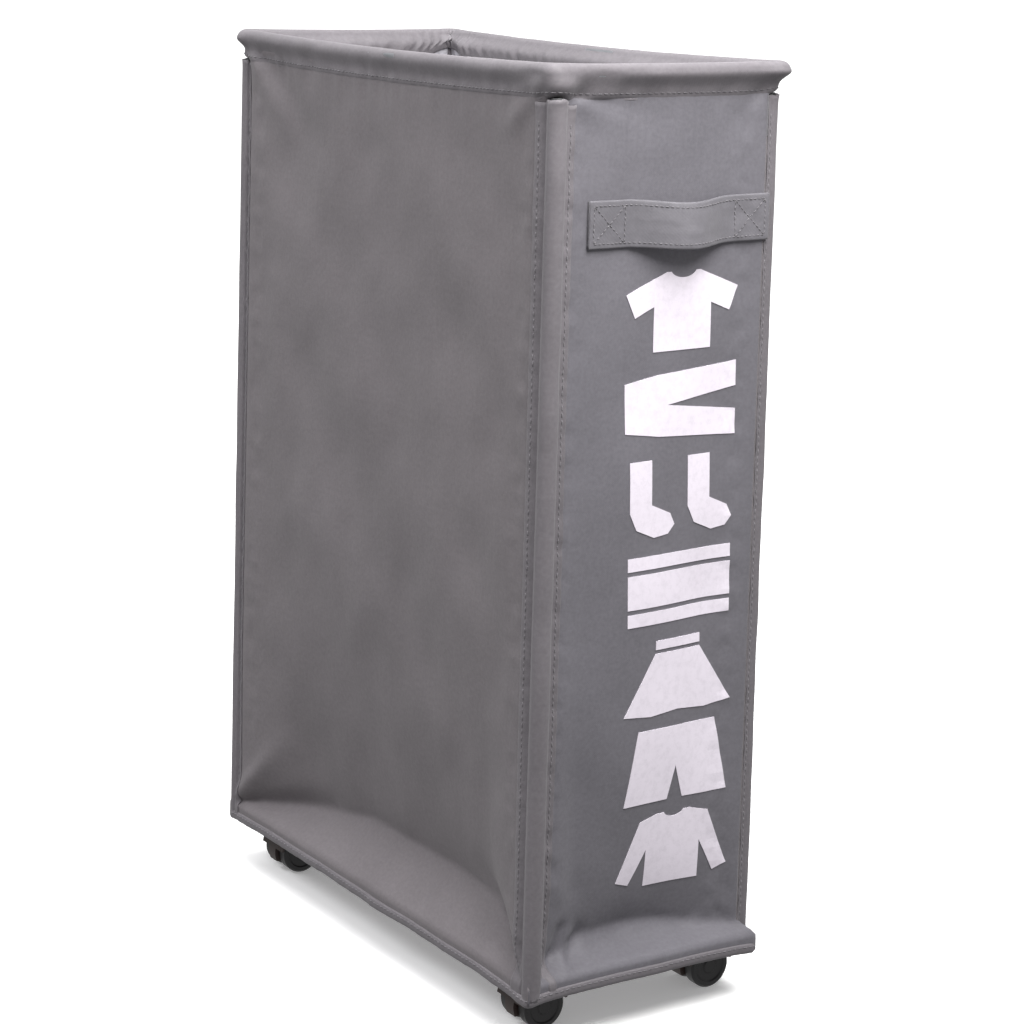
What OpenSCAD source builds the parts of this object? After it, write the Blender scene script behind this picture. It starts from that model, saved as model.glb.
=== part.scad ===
// Laundry sorter on wheels: a tall, slim cloth bag held open by a wire rim and
// four corner poles, standing on a board with four twin-wheel swivel casters.
// Millimetres. +X is the end with the carrying strap, -Y the front, +Z up.
// The origin is on the floor, under the middle of the bag.

/* [Bag] */
// Outer width of the top rim, end to end
rim_w = 366; // [320:1:450]
// Outer depth of the top rim, front to rear
rim_d = 170; // [160:1:260]
// Height of the rim's top above the floor
rim_z = 570; // [430:1:700]
// Thickness of the bag's coated cloth
cloth_t = 1.2; // [0.8:0.1:2]
// How far each end wall leans outwards on its way down
lean_end = 6; // [3:0.5:8]
// How far the front wall leans outwards on its way down
lean_front = 4; // [1:0.5:6]
// How far the rear wall leans outwards on its way down
lean_rear = 1.2; // [0.5:0.1:1.2]

/* [Rim hem] */
// Width of the padded hem that wraps the rim wire
hem_w = 12; // [10:0.5:16]
// Height of the hem
hem_h = 18; // [15:0.5:26]
// Radius of the rim wire
wire_r = 2.5; // [1.5:0.1:3]
// Corner radius of the rim wire's centre line
wire_corner_r = 10; // [9:0.5:24]
// Length of a ferrule that joins the two wire halves
ferrule_len = 30; // [16:1:50]
// Wall of a ferrule
ferrule_wall = 0.9; // [0.6:0.1:1.4]

/* [Poles and sleeves] */
// Outer radius of a corner pole
pole_r = 4; // [3:0.1:5]
// Wall of a corner pole's tube
pole_wall = 0.8; // [0.5:0.1:1.5]
// Length of the plug pushed into each end of a pole
plug_len = 9; // [5:0.5:16]
// Thickness of a top plug's head
plug_head = 2; // [1:0.5:4]
// Height of a foot plug's head
foot_head = 5; // [3:0.5:8]
// Thickness of the sleeve cloth
sleeve_t = 0.9; // [0.6:0.1:1.4]
// Width of the flat sewn edge beside a pole
sleeve_flange = 5; // [3:0.5:10]
// How far a front sleeve wraps onto the front wall
sleeve_wrap = 4; // [2:0.5:8]
// Height of the open notch between a sleeve and the hem
sleeve_notch = 4; // [2:0.5:12]

/* [Base] */
// How far the base's bound edge stands outside the rim at each end
spread_end = 6; // [4:0.5:9]
// How far the base's bound edge stands outside the rim at front and rear
spread_side = 0.5; // [0:0.5:4]
// Height of the binding tape
binding_h = 6; // [4:0.5:10]
// Thickness of the binding tape outside the wall's foot
binding_t = 1.5; // [0.8:0.1:2.5]
// Thickness of the cloth under the board
base_cloth_t = 1; // [0.6:0.1:2]
// Thickness of the base board
board_t = 4; // [3:0.5:8]
// Corner radius of the base board
board_corner_r = 8; // [4:1:14]
// Height over which the walls spread to the board's edge
shoulder_h = 7; // [5:0.5:14]

/* [Carrying strap] */
// Width of the strap
strap_w = 27; // [20:0.5:40]
// Thickness of the folded strap
strap_t = 2.4; // [1.5:0.1:4]
// Height of the strap's middle above the floor
strap_z = 481.5; // [380:0.5:500]
// Front end of the strap, measured from the middle of the end wall
strap_front = -50.5; // [-60:0.5:-40]
// Rear end of the strap, measured from the middle of the end wall
strap_rear = 72; // [50:0.5:72]
// Length of each sewn-down end of the strap
strap_pad = 26; // [18:0.5:34]
// Height of the finger gap under the middle of the strap
strap_gap = 12; // [8:0.5:13]

/* [Printed motif] */
// Width of each garment picture
motif_w = 78; // [50:1:90]
// Height of each garment picture
motif_h = 46; // [30:1:50]
// Distance from one picture to the next
motif_pitch = 54.3; // [50:0.1:58]
// Height of the top picture's middle above the floor
motif_top_z = 430; // [390:1:440]
// Offset of the column's middle towards the rear
motif_y = 18; // [-10:1:25]
// Slant of the column in the plane of the wall, in degrees
motif_slant = 1.5; // [-2:0.1:2]
// Thickness of the printed film
motif_t = 0.3; // [0.2:0.05:0.5]

/* [Casters] */
// Distance from a swivel axis to the base's bound edge at each end
caster_inset_x = 40; // [34:1:60]
// Distance from a swivel axis to the base's bound edge at front and rear
caster_inset_y = 23.5; // [23:0.5:34]
// Radius of a wheel
wheel_r = 14; // [11:0.1:16.8]
// Width of a wheel
wheel_w = 9; // [7:0.1:11]
// Distance from the swivel axis to the wheel axle
trail = 7; // [5:0.5:8]
// Thickness of the hood's web between the two wheels
web_t = 9; // [8:0.1:12]
// Thickness of the hood's mudguard
hood_t = 1.6; // [1:0.1:2]
// Space between the mudguard's top and the plate, which the nuts stand in
nut_space = 3.6; // [3:0.1:6]
// Radius of the wheel axle
axle_r = 2; // [1.5:0.1:2.4]
// Thickness of a wheel's floor at the end of its bore
bore_floor = 2; // [1.5:0.1:3]
// Gap between the axle's end and that floor
axle_end_gap = 0.5; // [0.3:0.1:1]
// Chamfer of a wheel's tread
tread_edge = 1.2; // [0.5:0.1:2]
// Thickness of a wheel's tread ring
tread_ring = 2.7; // [2:0.1:4]
// Wall of a wheel's hub
hub_wall = 3; // [2:0.1:4]
// Thickness of a wheel's disc
disc_t = 3.4; // [2:0.1:5]
// Depth of the dish in a wheel's outer face
dish = 0.8; // [0.3:0.1:1.2]
// Radius of the kingpin
kingpin_r = 3; // [2.5:0.1:3.2]
// Size of the top plate along X
plate_x = 38; // [36:0.5:46]
// Size of the top plate along Y
plate_y = 34; // [32:0.5:38]
// Thickness of the top plate
plate_t = 2; // [1.5:0.1:3]
// Corner radius of the top plate
plate_corner_r = 4; // [2:0.5:8]
// Distance between the plate's screw holes along X
screw_dx = 28; // [27:0.5:36]
// Distance between the plate's screw holes along Y
screw_dy = 24; // [23:0.5:28]
// Radius of a plate screw
screw_r = 2; // [1.5:0.1:2]
// Thickness of a nut
nut_t = 2.4; // [1.6:0.1:2.8]
// Length of a screw's tip below its nut
screw_tip = 0.2; // [0:0.1:0.8]
// Length of the kingpin
kingpin_len = 18; // [12:0.5:20]
// How far the kingpin's head stands out all round
kingpin_head_rim = 2; // [1:0.5:3]
// Thickness of the kingpin's head
kingpin_head_t = 1; // [0.6:0.1:1.4]
// Wall of the hood's boss round the kingpin
boss_wall = 3.4; // [2:0.1:4]
// Height of the mudguard's lower edge above the axle
guard_rise = 3; // [0:0.5:6]
// How far the hood's web reaches below the axle
web_drop = 4.5; // [3:0.5:8]

/* [Clearances] */
// Radial clearance of a turning shaft
run_fit = 0.05; // [0.02:0.01:0.09]
// Radial clearance of a screw, rivet or plug in its hole
hole_fit = 0.03; // [0.01:0.01:0.09]
// Clearance between sewn layers that lie on each other
skin_gap = 0.05; // [0.02:0.01:0.1]
// Side clearance between parts that turn past each other
side_gap = 0.5; // [0.3:0.1:1]
// Clearance round a pole in its sleeve
sleeve_gap = 0.4; // [0.3:0.1:0.8]
// Clearance round the board inside the cloth
board_gap = 0.8; // [0.3:0.1:2]
// Gap between a wheel's tread and the mudguard
tread_gap = 0.8; // [0.4:0.1:2]
// Gap between the hood's boss and the plate that it turns under
boss_gap = 0.4; // [0.2:0.1:1]
// Height of a pole's or a sleeve's foot above the shoulder
foot_gap = 0.2; // [0.1:0.05:0.5]
// Gap between a pole's top and the hem
top_gap = 0.15; // [0.1:0.05:0.5]

/* [Hidden] */
$fn = 48;

// A nut's and a screw head's radius as shares of the screw's radius
nut_share = 2.02;
screw_head_share = 2;

// Margin by which a cutter passes the face that it cuts
over = 1;

// Heights, from the floor up: the casters carry the cloth floor and the board
axle_z = wheel_r;
guard_in = wheel_r + tread_gap;
guard_out = guard_in + hood_t;
plate_z = axle_z + guard_out + nut_space;
base_cloth_z = plate_z + plate_t;
board_z = base_cloth_z + base_cloth_t;
board_top_z = board_z + board_t;
shoulder_z = board_top_z + shoulder_h;
hem_z = rim_z - hem_h;
wire_z = rim_z - hem_w / 2;
wall_rise = hem_z - shoulder_z;

// The rim wire's centre line, as half sizes
wire_x = rim_w / 2 - hem_w / 2;
wire_y = rim_d / 2 - hem_w / 2;

// The outer faces of the walls under the hem. The poles stand outside the end
// walls at the front and outside the rear wall at the rear, under the wire.
sleeve_in = pole_r + sleeve_gap;
sleeve_out = sleeve_in + sleeve_t;
pole_off = sleeve_in + skin_gap;
end_x = wire_x - pole_off;
front_y = -wire_y - cloth_t / 2;
rear_y = wire_y - pole_off;

// The foot of the walls and the bound edge, as half sizes
edge_x = rim_w / 2 + spread_end;
edge_y = rim_d / 2 + spread_side;
foot_x = edge_x - binding_t;
foot_y = edge_y - binding_t;

// Lean of the end walls from the upright
end_angle = atan(lean_end / wall_rise);

// Casters
caster_x = edge_x - caster_inset_x;
caster_y = edge_y - caster_inset_y;
boss_r = kingpin_r + boss_wall;
boss_top_z = plate_z - boss_gap;
kingpin_head_r = kingpin_r + kingpin_head_rim;
nut_r = screw_r * nut_share;
screw_head_r = screw_r * screw_head_share;

CORNERS = [[1, -1], [-1, -1], [1, 1], [-1, 1]];

// ---------- shared shapes ----------

// Solid between two level rectangles, each given as [x0, x1, y0, y1]
module tier(low, low_z, high, high_z) {
    function ring(r, z) = [[r[0], r[2], z], [r[1], r[2], z], [r[1], r[3], z], [r[0], r[3], z]];
    polyhedron(
        points = concat(ring(low, low_z), ring(high, high_z)),
        faces = [[0, 1, 2, 3], [7, 6, 5, 4],
                 [0, 4, 5, 1], [1, 5, 6, 2], [2, 6, 7, 3], [3, 7, 4, 0]]);
}

// Plan of the walls at the rim, the shoulder and the foot, drawn in by t
function rim_plan(t) = [-end_x + t, end_x - t, front_y + t, rear_y - t];
function shoulder_plan(t) = [-end_x - lean_end + t, end_x + lean_end - t,
                             front_y - lean_front + t, rear_y + lean_rear - t];
function foot_plan(t) = [-foot_x + t, foot_x - t, -foot_y + t, foot_y - t];

// The bag's volume out to the walls' outer faces
module bag_body() {
    tier(shoulder_plan(0), shoulder_z, rim_plan(0), hem_z);
    tier(foot_plan(0), board_top_z, shoulder_plan(0), shoulder_z);
    tier(foot_plan(0), base_cloth_z, foot_plan(0), board_top_z);
}

module plan_rect(r) {
    translate([r[0], r[2]]) square([r[1] - r[0], r[3] - r[2]]);
}

// The half space outside one wall's inner face, as a stack of tiers. The wall
// is named by the index of its side in a plan: 0 and 1 are the ends, 2 the
// front and 3 the rear.
module wall_side(side) {
    far = 2 * rim_w;
    all_round = [-far, far, -far, far];
    function strip(r) = [for (i = [0 : 3]) i == (side % 2 == 0 ? side + 1 : side - 1)
        ? r[side] : all_round[i]];
    tier(strip(shoulder_plan(cloth_t)), shoulder_z, strip(rim_plan(cloth_t)), hem_z);
    tier(strip(foot_plan(cloth_t)), board_top_z, strip(shoulder_plan(cloth_t)), shoulder_z);
    tier(strip(foot_plan(cloth_t)), base_cloth_z, strip(foot_plan(cloth_t)), board_top_z);
}

// A long wall takes the corners, and an end wall fits between the long ones
module long_wall(side) {
    intersection() {
        bag_body();
        wall_side(side);
    }
}

module end_wall(side) {
    difference() {
        intersection() {
            bag_body();
            wall_side(side);
        }
        wall_side(2);
        wall_side(3);
    }
}

// Plate with rounded corners, centred in plan, rising from z = 0
module round_plate(x, y, t, r) {
    linear_extrude(t)
        union() {
            square([x - 2 * r, y], center = true);
            square([x, y - 2 * r], center = true);
            for (c = CORNERS) translate([c[0] * (x / 2 - r), c[1] * (y / 2 - r)]) circle(r);
        }
}

// Carries a profile round the rim wire's centre line. The profile is drawn with
// its X towards the outside of the rim and its Y upwards.
module rim_sweep() {
    run_x = wire_x - wire_corner_r;
    run_y = wire_y - wire_corner_r;
    for (s = [-1, 1]) {
        translate([s * wire_x, s * run_y, 0])
            rotate([90, 0, s > 0 ? 0 : 180])
                linear_extrude(2 * run_y) children();
        translate([-s * run_x, s * wire_y, 0])
            rotate([90, 0, s > 0 ? 90 : -90])
                linear_extrude(2 * run_x) children();
    }
    for (i = [0 : 3]) {
        c = [[1, 1], [-1, 1], [-1, -1], [1, -1]][i];
        translate([c[0] * run_x, c[1] * run_y, 0])
            rotate(90 * i)
                rotate_extrude(angle = 90) translate([wire_corner_r, 0]) children();
    }
}

// Places children on an end wall's outer face at height z: their X points out
// of the wall, their Y to the rear and their Z up along the wall.
module on_end_wall(z) {
    translate([end_x + lean_end * (hem_z - z) / wall_rise, 0, z])
        rotate([0, -end_angle, 0])
            children();
}

// Pole axis at height z, for the corner c
function pole_x(c, z) = let (drop = (hem_z - z) / wall_rise)
    c[0] * (c[1] < 0 ? wire_x + lean_end * drop : end_x - sleeve_out + lean_end * drop);
function pole_y(c, z) = let (drop = (hem_z - z) / wall_rise)
    c[1] < 0 ? front_y + sleeve_in - skin_gap - lean_front * drop
             : wire_y + lean_rear * drop;

// Places children at the foot of a corner's pole, with their Z along the pole
// and, at a front corner, their X square to the end wall. At a rear corner
// their Y is square to the rear wall.
module along_pole(c, z) {
    lean_y = c[1] < 0 ? -lean_front : lean_rear;
    lean_x = c[0] * lean_end;
    translate([pole_x(c, z), pole_y(c, z), z])
        if (c[1] < 0)
            rotate([asin(lean_y / norm([lean_x, lean_y, wall_rise])),
                    -atan(lean_x / wall_rise), 0]) children();
        else
            rotate([atan(lean_y / wall_rise),
                    -asin(lean_x / norm([lean_x, lean_y, wall_rise])), 0]) children();
}

// Lowest and highest point of the poles' tubes
pole_low_z = shoulder_z + foot_gap + foot_head;
pole_high_z = hem_z - top_gap - plug_head;
pole_len = pole_high_z - pole_low_z;

// ---------- cloth parts ----------

module front_panel() { color("#757173") long_wall(2); }

module rear_panel() { color("#757173") long_wall(3); }

module strap_end_panel() { color("#77757b") end_wall(1); }

module plain_end_panel() { color("#77757b") end_wall(0); }

// Cloth floor under the board, with the caster screws' holes
module base_panel() {
    color("#6b686b")
        difference() {
            translate([0, 0, base_cloth_z])
                linear_extrude(base_cloth_t) plan_rect(foot_plan(cloth_t + skin_gap));
            each_screw() translate([0, 0, base_cloth_z - over])
                cylinder(r = screw_r + run_fit, h = base_cloth_t + 2 * over);
        }
}

// Binding tape that hangs round the bottom edge
module base_binding() {
    inner = binding_t + cloth_t;
    color("#838086")
        translate([0, 0, base_cloth_z - binding_h])
            linear_extrude(binding_h)
                difference() {
                    plan_rect([-edge_x, edge_x, -edge_y, edge_y]);
                    plan_rect([-edge_x + inner, edge_x - inner, -edge_y + inner, edge_y - inner]);
                }
}

// Padded hem: a round-topped band with the wire's channel inside it
module rim_hem() {
    color("#7d7a7e")
        difference() {
            rim_sweep() {
                translate([0, wire_z]) circle(d = hem_w);
                translate([-hem_w / 2, hem_z]) square([hem_w, wire_z - hem_z]);
            }
            rim_sweep() translate([0, wire_z]) circle(wire_r + run_fit);
            for (s = [-1, 1])
                ferrule_place(s)
                    cylinder(r = ferrule_out() + run_fit, h = ferrule_len + 2 * side_gap,
                             center = true);
        }
}

// Sleeve round a pole: a bulged strip with one flat sewn edge and one edge that
// closes at the corner. Its profile has the pole at the origin and the wall at
// X = -pole_off.
module sleeve_profile(wrap) {
    difference() {
        union() {
            intersection() {
                circle(sleeve_out);
                translate([0, -sleeve_out]) square(2 * sleeve_out);
            }
            translate([skin_gap - pole_off, -sleeve_out])
                square([pole_off - skin_gap, 2 * sleeve_out]);
            translate([skin_gap - pole_off, 0]) square([sleeve_t, sleeve_out + sleeve_flange]);
            translate([-pole_off - wrap, -sleeve_out]) square([pole_off + wrap, sleeve_t]);
        }
        circle(sleeve_in);
        translate([-pole_off, -sleeve_in]) square([pole_off, 2 * sleeve_in]);
    }
}

module sleeve(c) {
    top_z = hem_z - sleeve_notch;
    low_z = shoulder_z + foot_gap;
    color("#807d83")
        along_pole(c, low_z)
            linear_extrude(top_z - low_z)
                if (c[1] < 0)
                    mirror([c[0] < 0 ? 1 : 0, 0]) sleeve_profile(sleeve_wrap);
                else
                    mirror([c[0] < 0 ? 1 : 0, 0]) rotate(90) sleeve_profile(0);
}

module sleeve_front_right() { sleeve(CORNERS[0]); }

module sleeve_front_left() { sleeve(CORNERS[1]); }

module sleeve_rear_right() { sleeve(CORNERS[2]); }

module sleeve_rear_left() { sleeve(CORNERS[3]); }

// Carrying strap: two sewn ends and a middle that bows out in a smooth hump
module carrying_strap() {
    steps = 20;
    y0 = strap_front + strap_pad;
    y1 = strap_rear - strap_pad;
    hump = [for (i = [0 : steps]) let (k = i / steps)
        [strap_gap * (1 - cos(360 * k)) / 2, y0 + (y1 - y0) * k]];
    inner = concat([[0, strap_front]], hump, [[0, strap_rear]]);
    outer = [for (i = [len(inner) - 1 : -1 : 0]) inner[i] + [strap_t, 0]];
    color("#6f6d72")
        on_end_wall(strap_z)
            translate([skin_gap, 0, -strap_w / 2])
                linear_extrude(strap_w) polygon(concat(inner, outer));
}

// ---------- printed motif: seven garments in a column ----------

// Each picture is drawn in a box 2 wide and 2 high round the origin
module tee_shirt() {
    difference() {
        polygon([[-0.3, 1], [-1, 0.5], [-0.84, -0.1], [-0.5, 0.15], [-0.5, -1],
                 [0.5, -1], [0.5, 0.15], [0.84, -0.1], [1, 0.5], [0.3, 1]]);
        translate([0, 1.08]) circle(0.24);
    }
}

module trousers() {
    polygon([[-1, 0.62], [-1, -0.62], [-0.4, -0.78], [1, -0.95], [1, -0.3],
             [-0.25, 0], [1, 0.3], [1, 0.95], [-0.4, 0.78]]);
}

module sock() {
    polygon([[-0.42, 1], [-0.02, 1], [-0.02, -0.15], [0.32, -0.42], [0.4, -0.72],
             [0.28, -0.95], [0.02, -1], [-0.3, -0.75], [-0.42, -0.3]]);
}

module sock_pair() {
    translate([-0.5, 0]) sock();
    translate([0.56, 0]) sock();
}

module towel() {
    difference() {
        square([1.9, 1.8], center = true);
        for (v = [-0.5, 0.5]) translate([0, v]) square([2.1, 0.12], center = true);
    }
}

module skirt() {
    translate([-0.42, 0.76]) square([0.84, 0.24]);
    polygon([[-0.42, 0.66], [0.42, 0.66], [1, -0.9], [0.5, -1], [0, -0.92], [-0.5, -1],
             [-1, -0.9]]);
}

module shorts() {
    polygon([[-0.72, 1], [0.72, 1], [0.95, -1], [0.14, -1], [0, -0.1], [-0.14, -1],
             [-0.95, -1]]);
}

module jumper() {
    difference() {
        polygon([[-0.3, 1], [-0.62, 0.85], [-1, -0.75], [-0.76, -0.9], [-0.48, 0.05],
                 [-0.48, -1], [0.48, -1], [0.48, 0.05], [0.76, -0.9], [1, -0.75],
                 [0.62, 0.85], [0.3, 1]]);
        translate([0, 1.04]) circle(0.18);
    }
}

module motif_cell(row) {
    translate([0, -row * motif_pitch]) {
        if (row == 0) motif_fit() tee_shirt();
        if (row == 1) motif_fit() trousers();
        if (row == 2) motif_fit() sock_pair();
        if (row == 3) motif_fit() towel();
        if (row == 4) motif_fit() skirt();
        if (row == 5) motif_fit() shorts();
        if (row == 6) motif_fit() jumper();
    }
}

// Brings a picture from its 2 by 2 box to its real width and height
module motif_fit() {
    scale([motif_w / 2, motif_h / 2]) children();
}

module printed_motif() {
    color("#f2eff4")
        on_end_wall(motif_top_z)
            translate([skin_gap, motif_y, 0])
                rotate([motif_slant, 0, 0])
                    rotate([90, 0, 90])
                        linear_extrude(motif_t)
                            for (row = [0 : 6]) motif_cell(row);
}

// ---------- rim wire and poles ----------

function ferrule_out() = wire_r + hole_fit + ferrule_wall;

module ferrule_place(s) {
    translate([0, s * wire_y, wire_z]) rotate([0, 90, 0]) children();
}

// Half of the rim wire, which meets the other half inside the ferrules
module rim_wire(side) {
    color("#b9bcc0")
        intersection() {
            rim_sweep() translate([0, wire_z]) circle(wire_r);
            translate([side > 0 ? side_gap : -rim_w - side_gap, -rim_d, 0])
                cube([rim_w, 2 * rim_d, rim_z]);
        }
}

module rim_wire_right() { rim_wire(1); }

module rim_wire_left() { rim_wire(-1); }

module rim_ferrule(s) {
    color("#9a9da1")
        ferrule_place(s)
            difference() {
                cylinder(r = ferrule_out(), h = ferrule_len, center = true);
                cylinder(r = wire_r + hole_fit, h = ferrule_len + over, center = true);
            }
}

module rim_ferrule_front() { rim_ferrule(-1); }

module rim_ferrule_rear() { rim_ferrule(1); }

module pole(c) {
    color("#c4c6c8")
        along_pole(c, pole_low_z)
            difference() {
                cylinder(r = pole_r, h = pole_len);
                translate([0, 0, -over]) cylinder(r = pole_r - pole_wall, h = pole_len + 2 * over);
            }
}

module pole_front_right() { pole(CORNERS[0]); }

module pole_front_left() { pole(CORNERS[1]); }

module pole_rear_right() { pole(CORNERS[2]); }

module pole_rear_left() { pole(CORNERS[3]); }

// Plug in the top of a pole, with a flat head under the hem
module pole_cap(c) {
    color("#d8d8d6")
        along_pole(c, pole_low_z)
            translate([0, 0, pole_len]) {
                cylinder(r1 = pole_r, r2 = pole_r - plug_head / 3, h = plug_head);
                translate([0, 0, -plug_len])
                    cylinder(r = pole_r - pole_wall - hole_fit, h = plug_len);
            }
}

module pole_cap_front_right() { pole_cap(CORNERS[0]); }

module pole_cap_front_left() { pole_cap(CORNERS[1]); }

module pole_cap_rear_right() { pole_cap(CORNERS[2]); }

module pole_cap_rear_left() { pole_cap(CORNERS[3]); }

// Plug in the foot of a pole, with a tapered head that stands on the shoulder
module pole_foot(c) {
    color("#d8d8d6")
        along_pole(c, pole_low_z) {
            translate([0, 0, -foot_head])
                cylinder(r1 = pole_r - 1, r2 = pole_r, h = foot_head);
            cylinder(r = pole_r - pole_wall - hole_fit, h = plug_len);
        }
}

module pole_foot_front_right() { pole_foot(CORNERS[0]); }

module pole_foot_front_left() { pole_foot(CORNERS[1]); }

module pole_foot_rear_right() { pole_foot(CORNERS[2]); }

module pole_foot_rear_left() { pole_foot(CORNERS[3]); }

// ---------- base and casters ----------

module each_screw() {
    for (c = CORNERS, h = CORNERS)
        translate([c[0] * caster_x + h[0] * screw_dx / 2, c[1] * caster_y + h[1] * screw_dy / 2, 0])
            children();
}

// Stiff board inside the bag, with countersunk holes for the caster screws
module base_board() {
    inset = binding_t + cloth_t + board_gap;
    color("#4a4644")
        difference() {
            translate([0, 0, board_z])
                round_plate(2 * (edge_x - inset), 2 * (edge_y - inset), board_t, board_corner_r);
            each_screw() {
                translate([0, 0, board_z - over])
                    cylinder(r = screw_r + hole_fit, h = board_t + 2 * over);
                translate([0, 0, board_top_z - screw_head_r + screw_r])
                    cylinder(r1 = screw_r + hole_fit, r2 = screw_head_r + hole_fit,
                             h = screw_head_r - screw_r);
            }
        }
}

module at_caster(c) {
    translate([c[0] * caster_x, c[1] * caster_y, 0]) children();
}

// Cylinder along X, centred on the wheel axle
module across(r, w) {
    translate([0, trail, axle_z]) rotate([0, 90, 0]) cylinder(r = r, h = w, center = true);
}

module caster_plate(c) {
    color("#3b3b3e")
        at_caster(c)
            difference() {
                translate([0, 0, plate_z]) round_plate(plate_x, plate_y, plate_t, plate_corner_r);
                for (h = CORNERS)
                    translate([h[0] * screw_dx / 2, h[1] * screw_dy / 2, plate_z - over])
                        cylinder(r = screw_r + hole_fit, h = plate_t + 2 * over);
                translate([0, 0, plate_z - over])
                    cylinder(r = kingpin_r + hole_fit, h = plate_t + 2 * over);
                translate([0, 0, base_cloth_z - kingpin_head_t])
                    cylinder(r = kingpin_head_r + hole_fit, h = kingpin_head_t + over);
            }
}

module caster_plate_front_right() { caster_plate(CORNERS[0]); }

module caster_plate_front_left() { caster_plate(CORNERS[1]); }

module caster_plate_rear_right() { caster_plate(CORNERS[2]); }

module caster_plate_rear_left() { caster_plate(CORNERS[3]); }

// Rivet that the hood turns on, with its head let into the plate
module caster_kingpin(c) {
    color("#a9abae")
        at_caster(c) {
            translate([0, 0, base_cloth_z - kingpin_len])
                cylinder(r = kingpin_r, h = kingpin_len);
            translate([0, 0, base_cloth_z - kingpin_head_t])
                cylinder(r = kingpin_head_r, h = kingpin_head_t);
        }
}

module caster_kingpin_front_right() { caster_kingpin(CORNERS[0]); }

module caster_kingpin_front_left() { caster_kingpin(CORNERS[1]); }

module caster_kingpin_rear_right() { caster_kingpin(CORNERS[2]); }

module caster_kingpin_rear_left() { caster_kingpin(CORNERS[3]); }

// Hood: a web between the wheels, a mudguard over them and a boss round the
// kingpin, with room for the wheels to turn
module caster_hood(c) {
    guard_w = 2 * (web_t / 2 + side_gap + wheel_w);
    guard_low = axle_z + guard_rise;
    web_low = axle_z - axle_r - web_drop;
    color("#3a3230")
        at_caster(c)
            difference() {
                union() {
                    intersection() {
                        across(guard_out, web_t);
                        translate([-web_t, trail - 2 * guard_out, web_low])
                            cube([2 * web_t, 4 * guard_out, 2 * guard_out]);
                    }
                    intersection() {
                        difference() {
                            across(guard_out, guard_w);
                            across(guard_in, guard_w + over);
                        }
                        translate([-guard_w, trail - 2 * guard_out, guard_low])
                            cube([2 * guard_w, 4 * guard_out, 2 * guard_out]);
                    }
                    difference() {
                        translate([0, 0, axle_z + axle_r])
                            cylinder(r = boss_r, h = boss_top_z - axle_z - axle_r);
                        difference() {
                            across(guard_in, guard_w);
                            across(guard_in + over, web_t);
                        }
                    }
                }
                translate([0, 0, base_cloth_z - kingpin_len - side_gap])
                    cylinder(r = kingpin_r + run_fit, h = kingpin_len);
                across(axle_r + hole_fit, guard_w);
            }
}

module caster_hood_front_right() { caster_hood(CORNERS[0]); }

module caster_hood_front_left() { caster_hood(CORNERS[1]); }

module caster_hood_rear_right() { caster_hood(CORNERS[2]); }

module caster_hood_rear_left() { caster_hood(CORNERS[3]); }

// Depth of a wheel's blind bore, which the axle's end reaches into
bore_depth = wheel_w - bore_floor;

module caster_axle(c) {
    color("#b4b6b9")
        at_caster(c) across(axle_r, web_t + 2 * (side_gap + bore_depth - axle_end_gap));
}

module caster_axle_front_right() { caster_axle(CORNERS[0]); }

module caster_axle_front_left() { caster_axle(CORNERS[1]); }

module caster_axle_rear_right() { caster_axle(CORNERS[2]); }

module caster_axle_rear_left() { caster_axle(CORNERS[3]); }

// Wheel turned from one profile: radius across, width upwards from the inner
// face, with a chamfered tread, a hollow back and a blind bore
module wheel_shape() {
    rim_in = wheel_r - tread_ring;
    hub = axle_r + hub_wall;
    rotate_extrude()
        polygon([[0, bore_depth], [axle_r + run_fit, bore_depth], [axle_r + run_fit, 0],
                 [hub, 0], [hub, wheel_w - disc_t], [rim_in, wheel_w - disc_t], [rim_in, 0],
                 [wheel_r - tread_edge, 0], [wheel_r, tread_edge],
                 [wheel_r, wheel_w - tread_edge], [wheel_r - tread_edge, wheel_w],
                 [rim_in - dish, wheel_w], [rim_in - 2 * dish, wheel_w - dish],
                 [hub, wheel_w - dish], [hub - dish, wheel_w], [0, wheel_w]]);
}

module wheel(c, side) {
    color("#1d1c1d")
        at_caster(c)
            translate([side * (web_t / 2 + side_gap), trail, axle_z])
                rotate([0, side * 90, 0]) wheel_shape();
}

module wheel_a_front_right() { wheel(CORNERS[0], -1); }

module wheel_a_front_left() { wheel(CORNERS[1], -1); }

module wheel_a_rear_right() { wheel(CORNERS[2], -1); }

module wheel_a_rear_left() { wheel(CORNERS[3], -1); }

module wheel_b_front_right() { wheel(CORNERS[0], 1); }

module wheel_b_front_left() { wheel(CORNERS[1], 1); }

module wheel_b_rear_right() { wheel(CORNERS[2], 1); }

module wheel_b_rear_left() { wheel(CORNERS[3], 1); }

// Countersunk screws from the board down through the plates
module caster_screws() {
    tip_z = plate_z - nut_t - screw_tip;
    color("#b0b2b5")
        each_screw() {
            translate([0, 0, tip_z]) cylinder(r = screw_r, h = board_top_z - tip_z - over);
            translate([0, 0, board_top_z - screw_head_r + screw_r])
                cylinder(r1 = screw_r, r2 = screw_head_r, h = screw_head_r - screw_r);
        }
}

// Thin hexagon nuts under the plates
module caster_nuts() {
    color("#b0b2b5")
        each_screw()
            translate([0, 0, plate_z - nut_t])
                difference() {
                    cylinder(r = nut_r, h = nut_t, $fn = 6);
                    translate([0, 0, -over]) cylinder(r = screw_r + hole_fit, h = nut_t + 2 * over);
                }
}

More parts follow.
